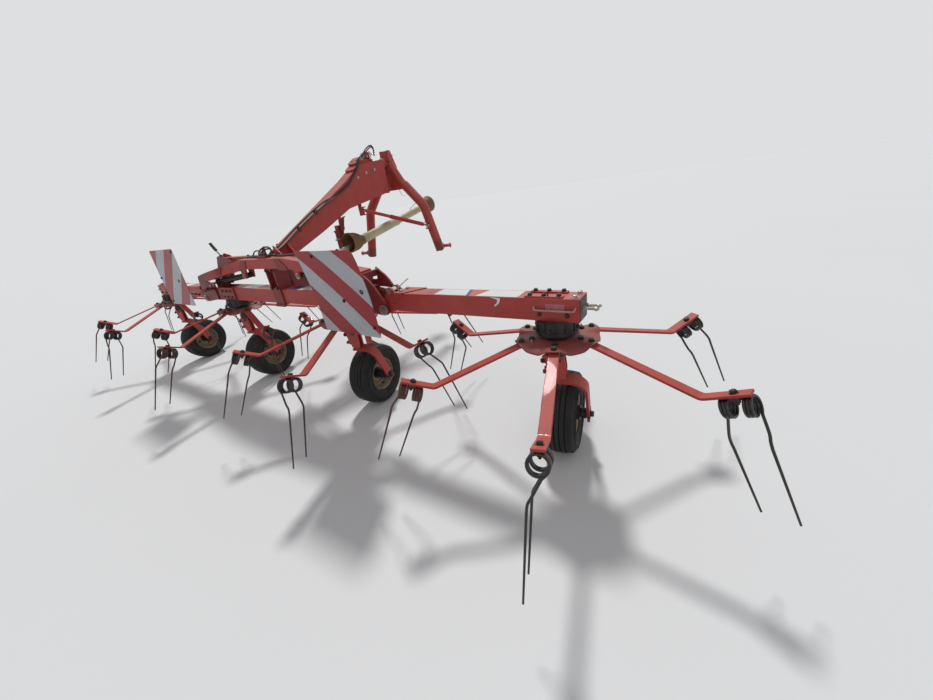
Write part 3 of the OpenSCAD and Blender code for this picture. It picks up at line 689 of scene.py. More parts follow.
class TEDDER_OT_rotors(Piece, bpy.types.Operator):
    """The pressed discs with their hubs, and the flat-bar arms"""

    bl_idname = "tedder.rotors"
    bl_label = "Rotors"

    def disc(self, i):
        """A pressed disc: six flat tongues over the arms, with the rim drawn down between them."""
        s = Shape(rotor_place(i))
        rings, parts = [0.034, 0.075, 0.098, 0.125, 0.15, 0.168, 0.182], 120
        flat, rim, drop = rings[2], rings[-1], 0.022
        top = []
        for k in range(parts):
            a = 360 * k / parts
            off = abs((a + 30) % 60 - 30)
            fall = min(1, max(0, (off - 7) / 14))
            fall *= fall * (3 - 2 * fall)
            for r in rings:
                out = max(0, (r - flat) / (rim - flat))
                reach = r * (1 - 0.05 * fall * (r == rim))
                z = DISC_Z - drop * fall * out**1.3 - (0.004 if r == rings[1] else 0)
                t = math.radians(a)
                top.append((reach * math.cos(t), reach * math.sin(t), z))
        n = len(rings)
        low = [(x, y, z - DISC_T * 0.6) for x, y, z in top]
        m = len(top)
        faces = []
        for k in range(parts):
            a, b = k * n, (k + 1) % parts * n
            for p, q in zip(range(a, a + n - 1), range(b, b + n - 1)):
                faces += [(p, p + 1, q + 1, q), (m + p, m + q, m + q + 1, m + p + 1)]
            faces += [(a + n - 1, m + a + n - 1, m + b + n - 1, b + n - 1), (a, b, m + b, m + a)]
        s.add(top + low, faces)
        s.ring(0.031, 0.062, DISC_Z - 0.048, DISC_Z - 0.012)
        return s.make(f"rotor_disc_{i}", ["disc"], f"rotor_{i}", slot="red_paint", angle=28)

    def build(self):
        slope = (KNEE - START).normalized()
        lift = Vector((0, 0.0006))
        path = [(0.07, ROOT_Z), (0.138, ROOT_Z), START + slope * 0.012, KNEE - slope * 0.016,
                KNEE - slope * 0.005 + lift, KNEE + TIP_WAY * 0.005 + lift, KNEE + TIP_WAY * 0.016,
                KNEE + TIP_WAY * TIP_LEN]
        for i in ROTORS:
            self.disc(i)
            arms = Shape()
            bolts = Shape()
            for k in range(6):
                arms.place = bolts.place = rotor_place(i, k)
                arms.strip(path, ARM_W, ARM_T)
                bolts.bolts([(r, 0, DISC_Z + 0.0002) for r in (0.112, 0.158)], across=0.019, head=0.009)
                bolts.bolt(TINE_PLACE @ move(0, 0, ARM_T / 2), 0.019, 0.009)
            arms.make(f"rotor_arms_{i}", ["arm"], f"rotor_{i}", 0.0022, "red_paint", [f"rotor_{i}"])
            bolts.make(f"rotor_bolts_{i}", ["dark bolt"], f"rotor_{i}", slot="bare_steel")


class TEDDER_OT_tines(Piece, bpy.types.Operator):
    """The double coil-spring tines under the arms' ends"""

    bl_idname = "tedder.tines"
    bl_label = "Tines"

    def tine(self, s, side, reach):
        """One wire: its coil starts beside the clamp at the top, and goes on as the leg."""
        t = settings("tines")
        z0 = -ARM_T / 2 - t.coil - t.wire / 2 - 0.001
        pitch, first = t.wire * 1.02, 0.0145
        turns = t.turns + 0.375
        steps = int(turns * 20)
        path = []
        for k in range(steps + 1):
            a = 2 * math.pi * turns * k / steps
            path.append((side * (first + pitch * turns * k / steps), t.coil * math.sin(a),
                         z0 + t.coil * math.cos(a)))
        end = Vector(path[-1])
        bend = ((0.052, -0.015, 0.083), (0.051, -0.026, 0.104), (0.049, -0.029, 0.128))
        knee = [Vector((side * x, y, z0 - z)) for x, y, z in bend]
        tip = Vector((side * 0.044, -0.0375, -reach))
        path += smooth_path([end + Vector((0, -0.012, -0.012))] + knee, 4) + [tip]
        radii = [t.wire / 2] * (len(path) - 1) + [t.wire * 0.36]
        s.tube([(side * 0.002, 0.0, z0 + t.coil)] + path, [t.wire / 2] + radii, sides=8)

    def build(self):
        rnd = random.Random(7)
        for i in ROTORS:
            wires, clamps = Shape(), Shape()
            for k in range(6):
                wires.place = clamps.place = rotor_place(i, k) @ TINE_PLACE @ mirrored(ROTOR_TURN[i], 1)
                wires.use(1 if rnd.random() < 0.22 else 0)
                self.tine(wires, 1, 0.418)
                self.tine(wires, -1, 0.388)
                for low, high in ((-0.0155, -0.0052), (-0.0195, -0.0158)):
                    clamps.box((-0.0135, -0.017, low), (0.0135, 0.017, high))
                clamps.bolt(move(0, 0, -0.0195) @ turn(180, "X"), 0.017, 0.008, stud=0.006)
            wires.make(f"tine_wires_{i}", ["wire", "rusty wire"], f"rotor_{i}", slot="spring_wire",
                       replaces=[f"tines_{i}"])
            clamps.make(f"tine_clamps_{i}", ["dark bolt"], f"rotor_{i}", 0.001, "bare_steel")


def wheel_place(i):
    """A wheel's middle, with +Z along its axle to the right."""
    return placed(move(ROTOR_X[i], 0, 0) @ turn(WHEEL_TOE, "Z") @ move(0, WHEEL_LEAD, TYRE_R)
                  @ turn(90, "Y"))


class TEDDER_OT_wheels(Piece, bpy.types.Operator):
    """Ribbed tyres and their dished rims"""

    bl_idname = "tedder.wheels"
    bl_label = "Wheels"

    def tyre(self, i):
        t = settings("tyre")
        r, half = TYRE_R - 0.0005, 0.0765
        side = [(0.108, 0.055), (0.115, 0.066), (0.128, 0.0725), (0.15, half), (0.168, 0.0762),
                (0.181, 0.0715), (0.19, 0.0655)]
        crown, gap, bulge = 0.058, 0.0028, 1.9
        tread = []
        width = 2 * crown / t.ribs
        for n in range(t.ribs):
            right = crown - n * width
            left = right - width
            for x in (right - gap, left + gap):
                tread.append((r - bulge * x * x, x))
            if n < t.ribs - 1:
                for x in (left + gap * 0.6, left - gap * 0.6):
                    tread.append((r - t.groove - bulge * x * x, x))
        body = side + [(0.1955, 0.0605)] + tread + [(0.1955, -0.0605)]
        body += [(a, -b) for a, b in reversed(side)] + [(0.106, -0.05), (0.106, 0.05)]
        s = Shape(wheel_place(i))
        s.lathe(body[::-1], parts=72)
        for face in (0.0745, -0.0745):
            for at in (0.136, 0.16, 0.172):
                s.lathe([(at, face), (at + 0.0015, math.copysign(0.0779, face)), (at + 0.003, face)],
                        parts=72)
        s.make(f"tyre_tread_{i}", ["rubber"], f"wheel_{i}", slot="tyre", replaces=[f"tyre_{i}"], angle=40)

    def rim(self, i):
        s = Shape(wheel_place(i))
        outer = [(0.107, 0.055), (0.1105, 0.059), (0.1155, 0.059), (0.1165, 0.0565), (0.112, 0.0545),
                 (0.103, 0.05), (0.097, 0.03), (0.094, 0.0), (0.097, -0.03), (0.103, -0.05),
                 (0.112, -0.0545), (0.1165, -0.0565), (0.1155, -0.059), (0.1105, -0.059), (0.107, -0.055),
                 (0.1035, -0.048), (0.0985, 0.0)]
        s.lathe(outer, parts=64)
        disc = [(0.04, 0.012), (0.052, 0.012), (0.06, 0.002), (0.078, -0.004), (0.09, 0.002),
                (0.0965, 0.012), (0.0965, 0.008), (0.09, -0.002), (0.078, -0.008), (0.059, -0.002),
                (0.051, 0.008), (0.04, 0.008)]
        s.lathe(disc, parts=48)
        s.use(1)
        s.lathe([(0.0145, -0.04), (0.026, -0.04), (0.03, -0.034), (0.03, 0.06), (0.036, 0.064),
                 (0.036, 0.078), (0.0145, 0.078)], parts=32)
        s.ring(0.03, 0.0415, 0.004, 0.016, parts=32)
        for k in range(4):
            s.bolt(turn(90 * k + 20, "Z") @ move(0.062, 0, 0.001), 0.014, 0.007)
            s.bolt(turn(90 * k + 20, "Z") @ move(0.062, 0, -0.009) @ turn(180, "X"), 0.014, 0.007)
        s.lathe([(AXIS, -0.052), (0.016, -0.052), (0.022, -0.047), (0.022, -0.04), (AXIS, -0.04)], parts=24)
        s.use(2)
        s.tube([(0.088, 0.02, 0.008), (0.089, 0.02, 0.024), (0.087, 0.02, 0.034)], 0.003, sides=8)
        s.make(f"rim_detail_{i}", ["cream rim", "black", "hose"], f"wheel_{i}", slot="cream_rim",
               replaces=[f"rim_{i}"])

    def build(self):
        for i in ROTORS:
            self.tyre(i)
            self.rim(i)


def at_boom(y):
    """Height of the boom's top face at a distance along the machine."""
    line = ((0.025, 1.045), (0.78, 1.457), (0.955, 1.566), (1.23, 1.596))
    for (a, b), (c, d) in zip(line, line[1:]):
        if y <= c:
            return b + (d - b) * (y - a) / (c - a)
    return line[-1][1]


# How far behind the rotors' line each board lies from its foot to its top, and its bolts.
BOARD_BENDS = {1: ((0, -0.222), (0.22, -0.227), (0.42, -0.234), (0.56, -0.241), (0.7, -0.252),
                   (0.86, -0.264), (1, -0.282)), -1: ((0, -0.268), (0.5, -0.266), (1, -0.261))}
BOARD_BOLTS = {1: ((0.9, 0.545), (0.54, 0.42), (0.3, 0.94), (0.93, 0.12)),
               -1: ((0.76, 0.45), (0.03, 0.5), (0.955, 0.955), (0.1, 0.06))}


def board_back(side, z):
    """How far behind the rotors' line a board's face lies at a height."""
    t = (z - BOARDS[side][1]) / BOARD_HEIGHT[side]
    for (a, b), (c, d) in zip(BOARD_BENDS[side], BOARD_BENDS[side][1:]):
        if t <= c:
            break
    return b + (d - b) * (t - a) / (c - a)


class TEDDER_OT_boards(Piece, bpy.types.Operator):
    """The striped boards, bent where they are bolted on, with their brackets"""

    bl_idname = "tedder.boards"
    bl_label = "Boards"

    def board(self, name, side):
        """A sheet as far out of flat as the photo shows, with its corners cut and its bolts."""
        inner, low, lean = BOARDS[side]
        size, height, thick = BOARD_SIZE, BOARD_HEIGHT[side], 0.0028
        lo_x = inner if side > 0 else -inner - size
        x, z = lo_x + size / 2, low + height / 2
        s = Shape(placed(move(x, 0, z) @ turn(lean, "Y") @ move(-x, 0, -z)))
        rows = [low + height * k / 24 for k in range(25)]
        verts, faces = [], []
        for z in rows:
            trim = 0.006 if z in (rows[0], rows[-1]) else 0
            for x in (lo_x + trim, lo_x + size - trim):
                verts += [(x, board_back(side, z), z), (x, board_back(side, z) - thick, z)]
        for n in range(len(rows) - 1):
            a, b = 4 * n, 4 * n + 4
            faces += [(a, b, b + 2, a + 2), (a + 1, a + 3, b + 3, b + 1), (a, a + 1, b + 1, b),
                      (a + 2, b + 2, b + 3, a + 3)]
        top = 4 * len(rows) - 4
        faces += [(0, 2, 3, 1), (top, top + 1, top + 3, top + 2)]
        s.add(verts, faces)
        s.use(1)
        for n, (x, z) in enumerate(BOARD_BOLTS[side]):
            px, pz = lo_x + size * x, low + height * z
            place = move(px, board_back(side, pz) - thick, pz) @ turn(90, "X")
            if n == 0:
                s.lathe([(0.004, -0.001), (0.0115, -0.001), (0.0125, 0.0012), (0.009, 0.003),
                         (0.004, 0.0015)], place, 24)
            else:
                s.bolt(place, 0.013, 0.005)
        s.make(f"board_sheet_{name}", ["board " + name, "dark bolt"], "centre_frame", slot="striped_board",
               replaces=["boards"] if side > 0 else (), angle=50)

    def bracket(self, name, side):
        """The flat bar that runs back from the cheek, with a foot behind the sheet."""
        s = Shape(placed())
        for x in (0.83, 0.91):
            foot = [(board_back(side, BEAM_HIGH + z) + 0.005, BEAM_HIGH + z) for z in (0.012, 0.07)]
            bar = [(-0.07, BEAM_HIGH - 0.006), (-0.195, BEAM_HIGH - 0.006)] + foot
            m = turn(90, "Z") @ mirrored(side, 1) @ move(0, -x, 0)
            s.strip(bar, 0.03, 0.006, m)
        s.tube([(side * 0.79, -0.2, BEAM_HIGH - 0.012), (side * 0.95, -0.2, BEAM_HIGH - 0.012)], 0.009,
               sides=14)
        s.use(1)
        s.bolts([(side * x, -0.085, BEAM_HIGH - 0.003) for x in (0.83, 0.91)])
        s.make(f"board_bracket_{name}", ["dark red", "dark bolt"], "centre_frame", 0.001,
               "dark_red_paint")

    def build(self):
        for name, side in SIDES:
            self.board(name, side)
            self.bracket(name, side)


class TEDDER_OT_beams(Piece, bpy.types.Operator):
    """What is bolted and stuck to the outer beams"""

    bl_idname = "tedder.beams"
    bl_label = "Beam fittings"

    def strips(self, s):
        rows = (-0.031, 0.034)
        for y in rows:
            s.prism(rect(1.862, y - 0.013, 2.022, y + 0.013), BEAM_HIGH, BEAM_HIGH + 0.007)
        s.use(1)
        s.bolts([(x, y, BEAM_HIGH + 0.007) for y in rows for x in (1.882, 1.942, 2.004)], across=0.016)
        s.bolt(move(1.958, -0.031, BEAM_HIGH + 0.007), 0.006, 0.016, washer=False)
        s.use(2)
        s.disk(0.017, 0, 0.0025, move(2.066, -0.026, BEAM_HIGH), 28)
        s.bolt(move(2.066, -0.026, BEAM_HIGH + 0.0025), 0.017, 0.007)
        s.bolt(move(2.068, 0.036, BEAM_HIGH), 0.018, 0.008)
        return "strips", ["red", "dark bolt", "zinc"], 0.0012, "red_paint"

    def end(self, s):
        """The cap of the beam's end, with its two long studs."""
        x = 2.09
        hollow = rect(-0.044, BEAM_LOW + 0.006, 0.044, BEAM_HIGH - 0.006)
        # The cap over the beam's hollow is a very dark olive: painted shade, the look of the shaded end
        # face.
        s.prism(hollow, x, x + 0.0025, LENGTHWISE)
        s.use(1)
        for y in (0.034, -0.004):
            m = move(x + 0.002, y, 0.776) @ turn(90, "Y")
            s.lathe([(AXIS, 0), (0.0055, 0), (0.0055, 0.058), (0.0045, 0.0595), (AXIS, 0.0595)], m, 14)
            for k in range(18):
                s.lathe([(0.0054, 0.003 * k + 0.004), (0.0061, 0.003 * k + 0.0052),
                         (0.0054, 0.003 * k + 0.0064)], m, 12)
            s.bolt(m, 0.017, 0.009)
            s.bolt(m @ move(0, 0, 0.044), 0.017, 0.009, washer=False)
        return "end", ["end", "zinc"], 0, "red_paint"

    def collar(self, s):
        """The plate folded over the beam's inner end, with a slanting edge."""
        top, t = BEAM_HIGH + 0.0002, 0.0045
        outline = [(1.138, -0.054), (1.188, -0.054), (1.212, -0.03), (1.275, 0.054), (1.138, 0.054)]
        s.prism(outline, top, top + t)
        for y in (-0.0545, 0.0503):
            s.prism([(1.138, BEAM_HIGH - 0.03), (1.188, BEAM_HIGH - 0.02), (1.188, top + 0.001),
                     (1.138, top + 0.001)], -y - 0.0042, -y, turn(90, "X"))
        s.use(1)
        s.bolts([(1.165, y, top + t) for y in (-0.026, 0.028)])
        wire = smooth_path([(1.142, -0.02, top + t), (1.14, -0.018, top + 0.02),
                            (1.155, -0.005, top + 0.034), (1.19, 0.02, top + 0.062)], 5)
        s.tube(wire, 0.0028, sides=8)
        return "collar", ["red", "zinc"], 0.001, "red_paint"

    def handle(self, s):
        y = -0.05
        path = [(1.905, y + 0.002, 0.792), (1.905, y - 0.006, 0.789), (1.909, y - 0.012, 0.782),
                (1.922, y - 0.013, 0.779), (2.058, y - 0.013, 0.779), (2.071, y - 0.012, 0.782),
                (2.075, y - 0.006, 0.789), (2.075, y + 0.002, 0.792)]
        s.tube(smooth_path(path, 4), 0.0034, sides=12)
        s.use(1)
        s.bolts([(x, y, 0.757) for x in (1.926, 2.041)], turn(90, "X"), 0.014, 0.006)
        return "handle", ["rod", "dark bolt"], 0, "bare_steel"

    def sheets(self, s):
        """Blank reflecting sheets stuck on top, one with a curved band down the side."""
        top, lift = BEAM_HIGH + 0.0002, 0.0008
        first = arc((1.4, 0.036), 0.008, 180, 90, 3) + [(1.545, 0.044), (1.575, -0.044)]
        first += arc((1.4, -0.036), 0.008, 270, 180, 3)
        s.prism(first[::-1], top, top + lift)
        second = [(1.625, -0.046), (1.825, -0.046), (1.832, -0.04), (1.832, 0.044), (1.655, 0.044)]
        s.prism(second, top, top + lift)
        down = [(1.7, BEAM_HIGH - 0.001)] + arc((1.712, BEAM_HIGH - 0.004), 0.04, 0, -78, 6)
        down += arc((1.712, BEAM_HIGH - 0.012), 0.026, -70, 0, 5)
        s.prism(down, 0.0502, 0.0508, turn(90, "X"))
        s.use(1)
        s.prism([(1.575, -0.044), (1.59, -0.044), (1.56, 0.044), (1.545, 0.044)], top, top + lift * 1.2)
        s.use(2)
        s.prism(rect(1.953, 0.777, 2.031, 0.803), 0.0502, 0.0509, turn(90, "X"))
        return "sheets", ["sheet", "band", "label"], 0, "red_paint"

    def build(self):
        for name, side in SIDES:
            for step in (self.strips, self.end, self.collar, self.handle, self.sheets):
                s = Shape(placed(mirrored(side)))
                piece, mats, bevel, slot = step(s)
                s.make(f"beam_{piece}_{name}", mats, "wing_" + name, bevel, slot)


class TEDDER_OT_hinges(Piece, bpy.types.Operator):
    """Pins, washers and bolts of the fold hinges, and the clamp under the bridge"""

    bl_idname = "tedder.hinges"
    bl_label = "Hinges"

    def build(self):
        pin_z = BEAM_LOW + 0.005
        for name, side in SIDES:
            s = Shape(placed(mirrored(side)))
            for near in (-1, 1):
                m = move(1.05, near * 0.0685, pin_z) @ turn(-90 * near, "X")
                s.ring(0.0155, 0.029, 0, 0.0045, m, 32)
                s.tube([(0.021, 0, 0.0085), (-0.021, 0, 0.0085)], 0.0028, m, 8)
                s.bolts([(x, near * 0.068, z) for x, z in ((0.8, 0.852), (0.865, 0.842))],
                        turn(-90 * near, "X"), 0.019, 0.009)
            s.use(1)
            plate = [(0.775, 0.832), (0.89, 0.824), (0.905, 0.836), (0.9, 0.868), (0.79, 0.872)]
            for y in (0.0682, -0.0722):
                s.prism(plate, -y - 0.004, -y, turn(90, "X"))
            s.prism([(0.93, -0.064), (0.948, -0.06), (0.948, 0.06), (0.93, 0.064)], 0.925, 0.931)
            s.make(f"hinge_fittings_{name}", ["zinc", "dark red"], "centre_frame", 0.001, "dark_red_paint")
        s = Shape(placed())
        base = [(0.83, 0.73), (1.026, 0.7055), (1.069, 0.7085), (1.0775, 0.716)]
        high = [(0.925, 0.94), (0.925, 0.876), (0.83, 0.837)]
        for side, outer in ((-1, [(1.08, 0.755), (1.055, 0.895), (1.046, 0.912), (1.03, 0.922)]),
                            (1, [(1.08, 0.752), (1.072, 0.772), (1.01, 0.868), (0.985, 0.896)])):
            d = mirrored(side)
            for y in (-0.068, 0.056):
                s.prism(base + outer + high, -y - 0.012, -y, d @ turn(90, "X"))
            s.box((0.9255, -0.0565, 0.894), (0.935, 0.0565, 0.928), d)
            s.use(1)
            s.lathe([(AXIS, -0.08), (0.0145, -0.08), (0.015, -0.0795), (0.015, 0.0795), (0.0145, 0.08),
                     (AXIS, 0.08)], d @ move(1.05, 0, pin_z) @ turn(90, "X"), 32)
            s.use(0)
        s.make("cheek_plates", ["dark red", "steel"], "centre_frame", 0.0015, "dark_red_paint",
               ["hinge_cheeks"])
        s = Shape(placed())
        s.bolts([(x, y, BEAM_LOW - 0.01) for y in (-0.058, 0.058) for x in (0.025, 0.095)], turn(180, "X"),
                0.019, 0.01)
        for x in (0.028, 0.092):
            s.bolt(move(x, -0.066, 0.84) @ turn(90, "X"), 0.019, 0.009)
            s.bolt(move(x, -0.0668, 0.957) @ turn(90, "X"), 0.017, 0.008)
        s.use(1)
        s.prism(rect(0.006, 0.71, 0.114, 0.726), 0.0662, 0.0742, turn(90, "X"))
        s.make("clamp_fittings", ["dark bolt", "dark red"], "centre_frame", 0.001, "dark_red_paint")


FOLD_BASE, FOLD_EYE = Vector((0.33, -0.01, 0.915)), Vector((1.095, -0.01, 0.832))


class TEDDER_OT_cylinders(Piece, bpy.types.Operator):
    """Glands, ports and pins of the two fold cylinders"""

    bl_idname = "tedder.cylinders"
    bl_label = "Fold cylinders"

    def build(self):
        length = (FOLD_EYE - FOLD_BASE).length
        end = length - 0.24
        for name, side in SIDES:
            base = placed(mirrored(side))
            axis = base @ facing(FOLD_EYE - FOLD_BASE, FOLD_BASE)
            up = axis.to_3x3().inverted() @ Vector((0, 0, 1))
            s = Shape(axis)
            s.lathe([(0.0212, end - 0.05), (0.0235, end - 0.048), (0.0235, end - 0.004),
                     (0.021, end + 0.003), (0.0125, end + 0.006), (0.0125, end - 0.002),
                     (0.0212, end - 0.004)], parts=36)
            s.lathe([(0.0212, 0.034), (0.0232, 0.036), (0.0232, 0.052), (0.0212, 0.054)], parts=36)
            for z in (end - 0.04, end - 0.03, end - 0.02):
                s.lathe([(0.0234, z), (0.0241, z + 0.001), (0.0241, z + 0.004), (0.0234, z + 0.005)],
                        parts=36)
            s.use(1)
            for z in (0.07, end - 0.07):
                m = facing(up, (0, 0, z)) @ move(0, 0, 0.019)
                s.disk(0.009, 0, 0.012, m, 20)
                s.lathe([(0.0105, 0.008), (0.0105, 0.02), (AXIS, 0.02), (AXIS, 0.008)], m, 6, False)
            s.make(f"cylinder_fittings_{name}", ["black", "zinc"], "cylinder_" + name, 0.0006, "black_paint")
            pins, eye = Shape(base), Shape(base)
            for near in (-1, 1):
                m = move(*(FOLD_BASE + Vector((0, near * 0.0335, 0)))) @ turn(-90 * near, "X")
                pins.ring(0.0115, 0.019, 0, 0.003, m, 28)
                pins.tube([(0.015, 0, 0.0055), (-0.015, 0, 0.0055)], 0.002, m, 8)
                m = move(*(FOLD_EYE + Vector((0, near * 0.0335, 0)))) @ turn(-90 * near, "X")
                eye.lathe([(AXIS, 0), (0.017, 0), (0.017, 0.003), (0.0115, 0.0032), (0.0115, 0.006),
                           (0.0095, 0.0072), (AXIS, 0.0072)], m, 28)
            pins.make(f"cylinder_pins_{name}", ["zinc"], "centre_frame", slot="bare_steel")
            eye.make(f"cylinder_eye_pins_{name}", ["zinc"], "wing_" + name, slot="bare_steel")


class TEDDER_OT_hoses(Piece, bpy.types.Operator):
    """Hydraulic hoses along the boom and out to the cylinders"""

    bl_idname = "tedder.hoses"
    bl_label = "Hoses"

    def build(self):
        s = Shape(placed())
        end = (FOLD_EYE - FOLD_BASE).normalized()
        for x, drop in ((0.0635, 0.0), (0.051, 0.012)):
            beside = ((0.08, 0.006), (0.23, 0.009), (0.36, 0.006), (0.45, 0.0), (0.52, -0.008),
                      (0.62, -0.024), (0.7, -0.033), (0.78, -0.036), (0.83, -0.027), (0.91, -0.006),
                      (0.95, 0.022))
            run = [(0.03, -0.01, 1.05)] + [(x, y, at_boom(y) + h + drop * (1.6 if y < 0.6 else 1))
                    for y, h in beside]
            run += [(0.04, 1.03, 1.632 + drop), (0.03 - drop, 1.1, 1.672 + drop),
                    (0.018, 1.155, 1.694 + drop), (0.008, 1.19, 1.676 + drop), (-0.004, 1.2, 1.632)]
            s.tube(smooth_path(run, 7), 0.0056, sides=12)
        for k, (radius, tall) in enumerate(((0.054, 0.03), (0.041, 0.021))):
            ring = [(-0.035 + 0.012 * k + radius * math.cos(t), 0.004 + 0.022 * math.sin(t + 0.6),
                     1.067 - 0.004 * k + tall * math.sin(t)) for t in [0.35 * k for k in range(19)]]
            s.tube(smooth_path(ring, 3), 0.0052, sides=10)
        tail = [(-0.23, 0.01, 1.0415), (-0.2, 0.006, 1.052), (-0.16, 0.002, 1.073), (-0.11, -0.002, 1.08),
                (-0.07, -0.006, 1.07), (-0.04, -0.01, 1.052)]
        s.tube(smooth_path(tail, 6), 0.0044, sides=10)
        for name, side in SIDES:
            for z, out in ((0.07, 0.0), (0.46, 0.014)):
                foot = FOLD_BASE + end * z
                a = Vector((side * foot.x, foot.y, foot.z + 0.036))
                run = [a, a + Vector((side * -0.004, -0.002, 0.022)),
                       Vector((side * (0.4 + out), 0.02, 0.968)), Vector((side * (0.355 + out), 0.034, 1.0)),
                       Vector((side * (0.32 + out), 0.03, 1.031)),
                       Vector((side * (0.28 + out), 0.01 - out, 1.0415)),
                       Vector((side * 0.18, 0.004 - out, 1.0415)), Vector((side * 0.1, 0.0, 1.0425)),
                       Vector((side * 0.05 - 0.02, -0.01, 1.05))]
                s.tube(smooth_path(run, 6), 0.0056, sides=10)
        s.make("hoses", ["hose"], "centre_frame", slot="black_paint")
        c = Shape(placed())
        for y in (0.25, 0.42):
            z = at_boom(y)
            c.strip([(0.03, z + 0.003), (0.04, z + 0.004), (0.046, z + 0.018), (0.066, z + 0.0185),
                     (0.0705, z + 0.008), (0.068, z - 0.004), (0.0575, z - 0.012)], 0.014, 0.0018,
                     move(0, y, 0))
            c.bolt(move(0.035, y, z + 0.004), 0.009, 0.004)
        for x in (-0.02, 0.005, 0.03):
            m = move(x, -0.035, 1.035)
            c.lathe([(AXIS, 0), (0.012, 0), (0.012, 0.014), (0.009, 0.016), (0.009, 0.03), (AXIS, 0.03)], m,
                    16)
            c.lathe([(0.0125, 0.016), (0.0125, 0.026), (AXIS, 0.026), (AXIS, 0.016)], m, 6, False)
        c.use(1)
        c.prism(rect(-0.045, -0.055, 0.05, -0.012), 1.035, 1.052)
        c.make("hose_clips", ["dark bolt", "dark red"], "centre_frame", 0.0008, "bare_steel")


class TEDDER_OT_boom(Piece, bpy.types.Operator):
    """Gussets at the boom's foot, its cover and the stepped plates over the swing pin"""

    bl_idname = "tedder.boom"
    bl_label = "Boom fittings"

    def build(self):
        s = Shape(placed())
        for side in (-1, 1):
            m = mirrored(side)
            for y, reach in ((0.02, 0.075), (0.122, 0.06)):
                outline = [(0.0545, 1.032), (0.055 + reach, 1.032), (0.055 + reach, 1.044), (0.068, 1.1),
                           (0.0545, 1.103)]
                s.prism(outline, -y - 0.004, -y + 0.004, m @ turn(90, "X"))
            ys = (0.16, 0.4, 0.62, 0.77)
            edge = [(y, at_boom(y) - 0.014) for y in ys] + [(y, at_boom(y) - 0.002) for y in ys[::-1]]
            s.prism(edge, 0.0545, 0.0585, m @ LENGTHWISE)
        slope = math.degrees(math.atan2(at_boom(0.95) - at_boom(0.8), 0.15))
        for y, z, half in ((0.912, 1.553, 0.049), (0.955, 1.598, 0.046)):
            pad, m = [], move(0, y, z) @ turn(slope, "X")
            for k, corner in enumerate(rect(0.031, half - 0.024, -0.031, 0.024 - half)):
                pad += arc(corner, 0.024, 90 * k, 90 * k + 90, 5)
            s.prism(pad, -0.012, 0.0, m)
            s.prism(rect(-0.03, -0.03, 0.03, 0.034), -0.03, -0.011, m)
        step = [(0.945, at_boom(0.945) - 0.004), (1.13, at_boom(1.13) - 0.004),
                (1.13, at_boom(1.13) + 0.018), (1.045, at_boom(1.045) + 0.026),
                (0.98, at_boom(0.98) + 0.026), (0.95, at_boom(0.95) + 0.006)]
        s.prism(step, -0.034, 0.034, LENGTHWISE)
        holder = [(-0.05, 0.0), (0.05, 0.0), (0.05, 0.052), (0.036, 0.064), (-0.036, 0.064), (-0.05, 0.052)]
        s.prism(holder, -0.004, 0.004, move(0, 1.085, at_boom(1.085) + 0.012) @ turn(90, "X"))
        s.make("boom_plates", ["red"], "centre_frame", 0.0015, "red_paint")
        b = Shape(placed())
        b.bolts([(x, 0.955, 1.598) for x in (-0.024, 0.024)], turn(slope, "X"), 0.015, 0.006)
        for x in (-0.03, 0.0, 0.03):
            plug = [(AXIS, 0.0), (0.0095, 0.0), (0.0095, 0.02), (0.0125, 0.022), (0.0125, 0.042),
                    (0.009, 0.046), (0.009, 0.058), (AXIS, 0.058)]
            b.lathe(plug, move(x, 1.092, at_boom(1.085) + 0.05) @ turn(-62 + 20 * abs(x) / 0.03, "X")
                    @ move(0, 0, -0.025), 18)
        for side in (-1, 1):
            b.bolts([(side * 0.055, y, z) for y, z in ((0.9, 1.47), (1.0, 1.5), (1.1, 1.52))],
                    turn(side * 90, "Y"))
        for y in (1.18, 1.2):
            b.tube(smooth_path([(-0.05, y, 1.6), (-0.056, y, 1.63), (-0.03, y + 0.01, 1.655),
                                (0.0, y + 0.01, 1.64)], 4), 0.0035, sides=8)
        b.make("boom_bolts", ["zinc"], "centre_frame", slot="bare_steel")


# The headstock is described from its swing pin, and stands turned aside as in the photo.
MAST = move(0, 1.27, 0) @ turn(12, "Z")


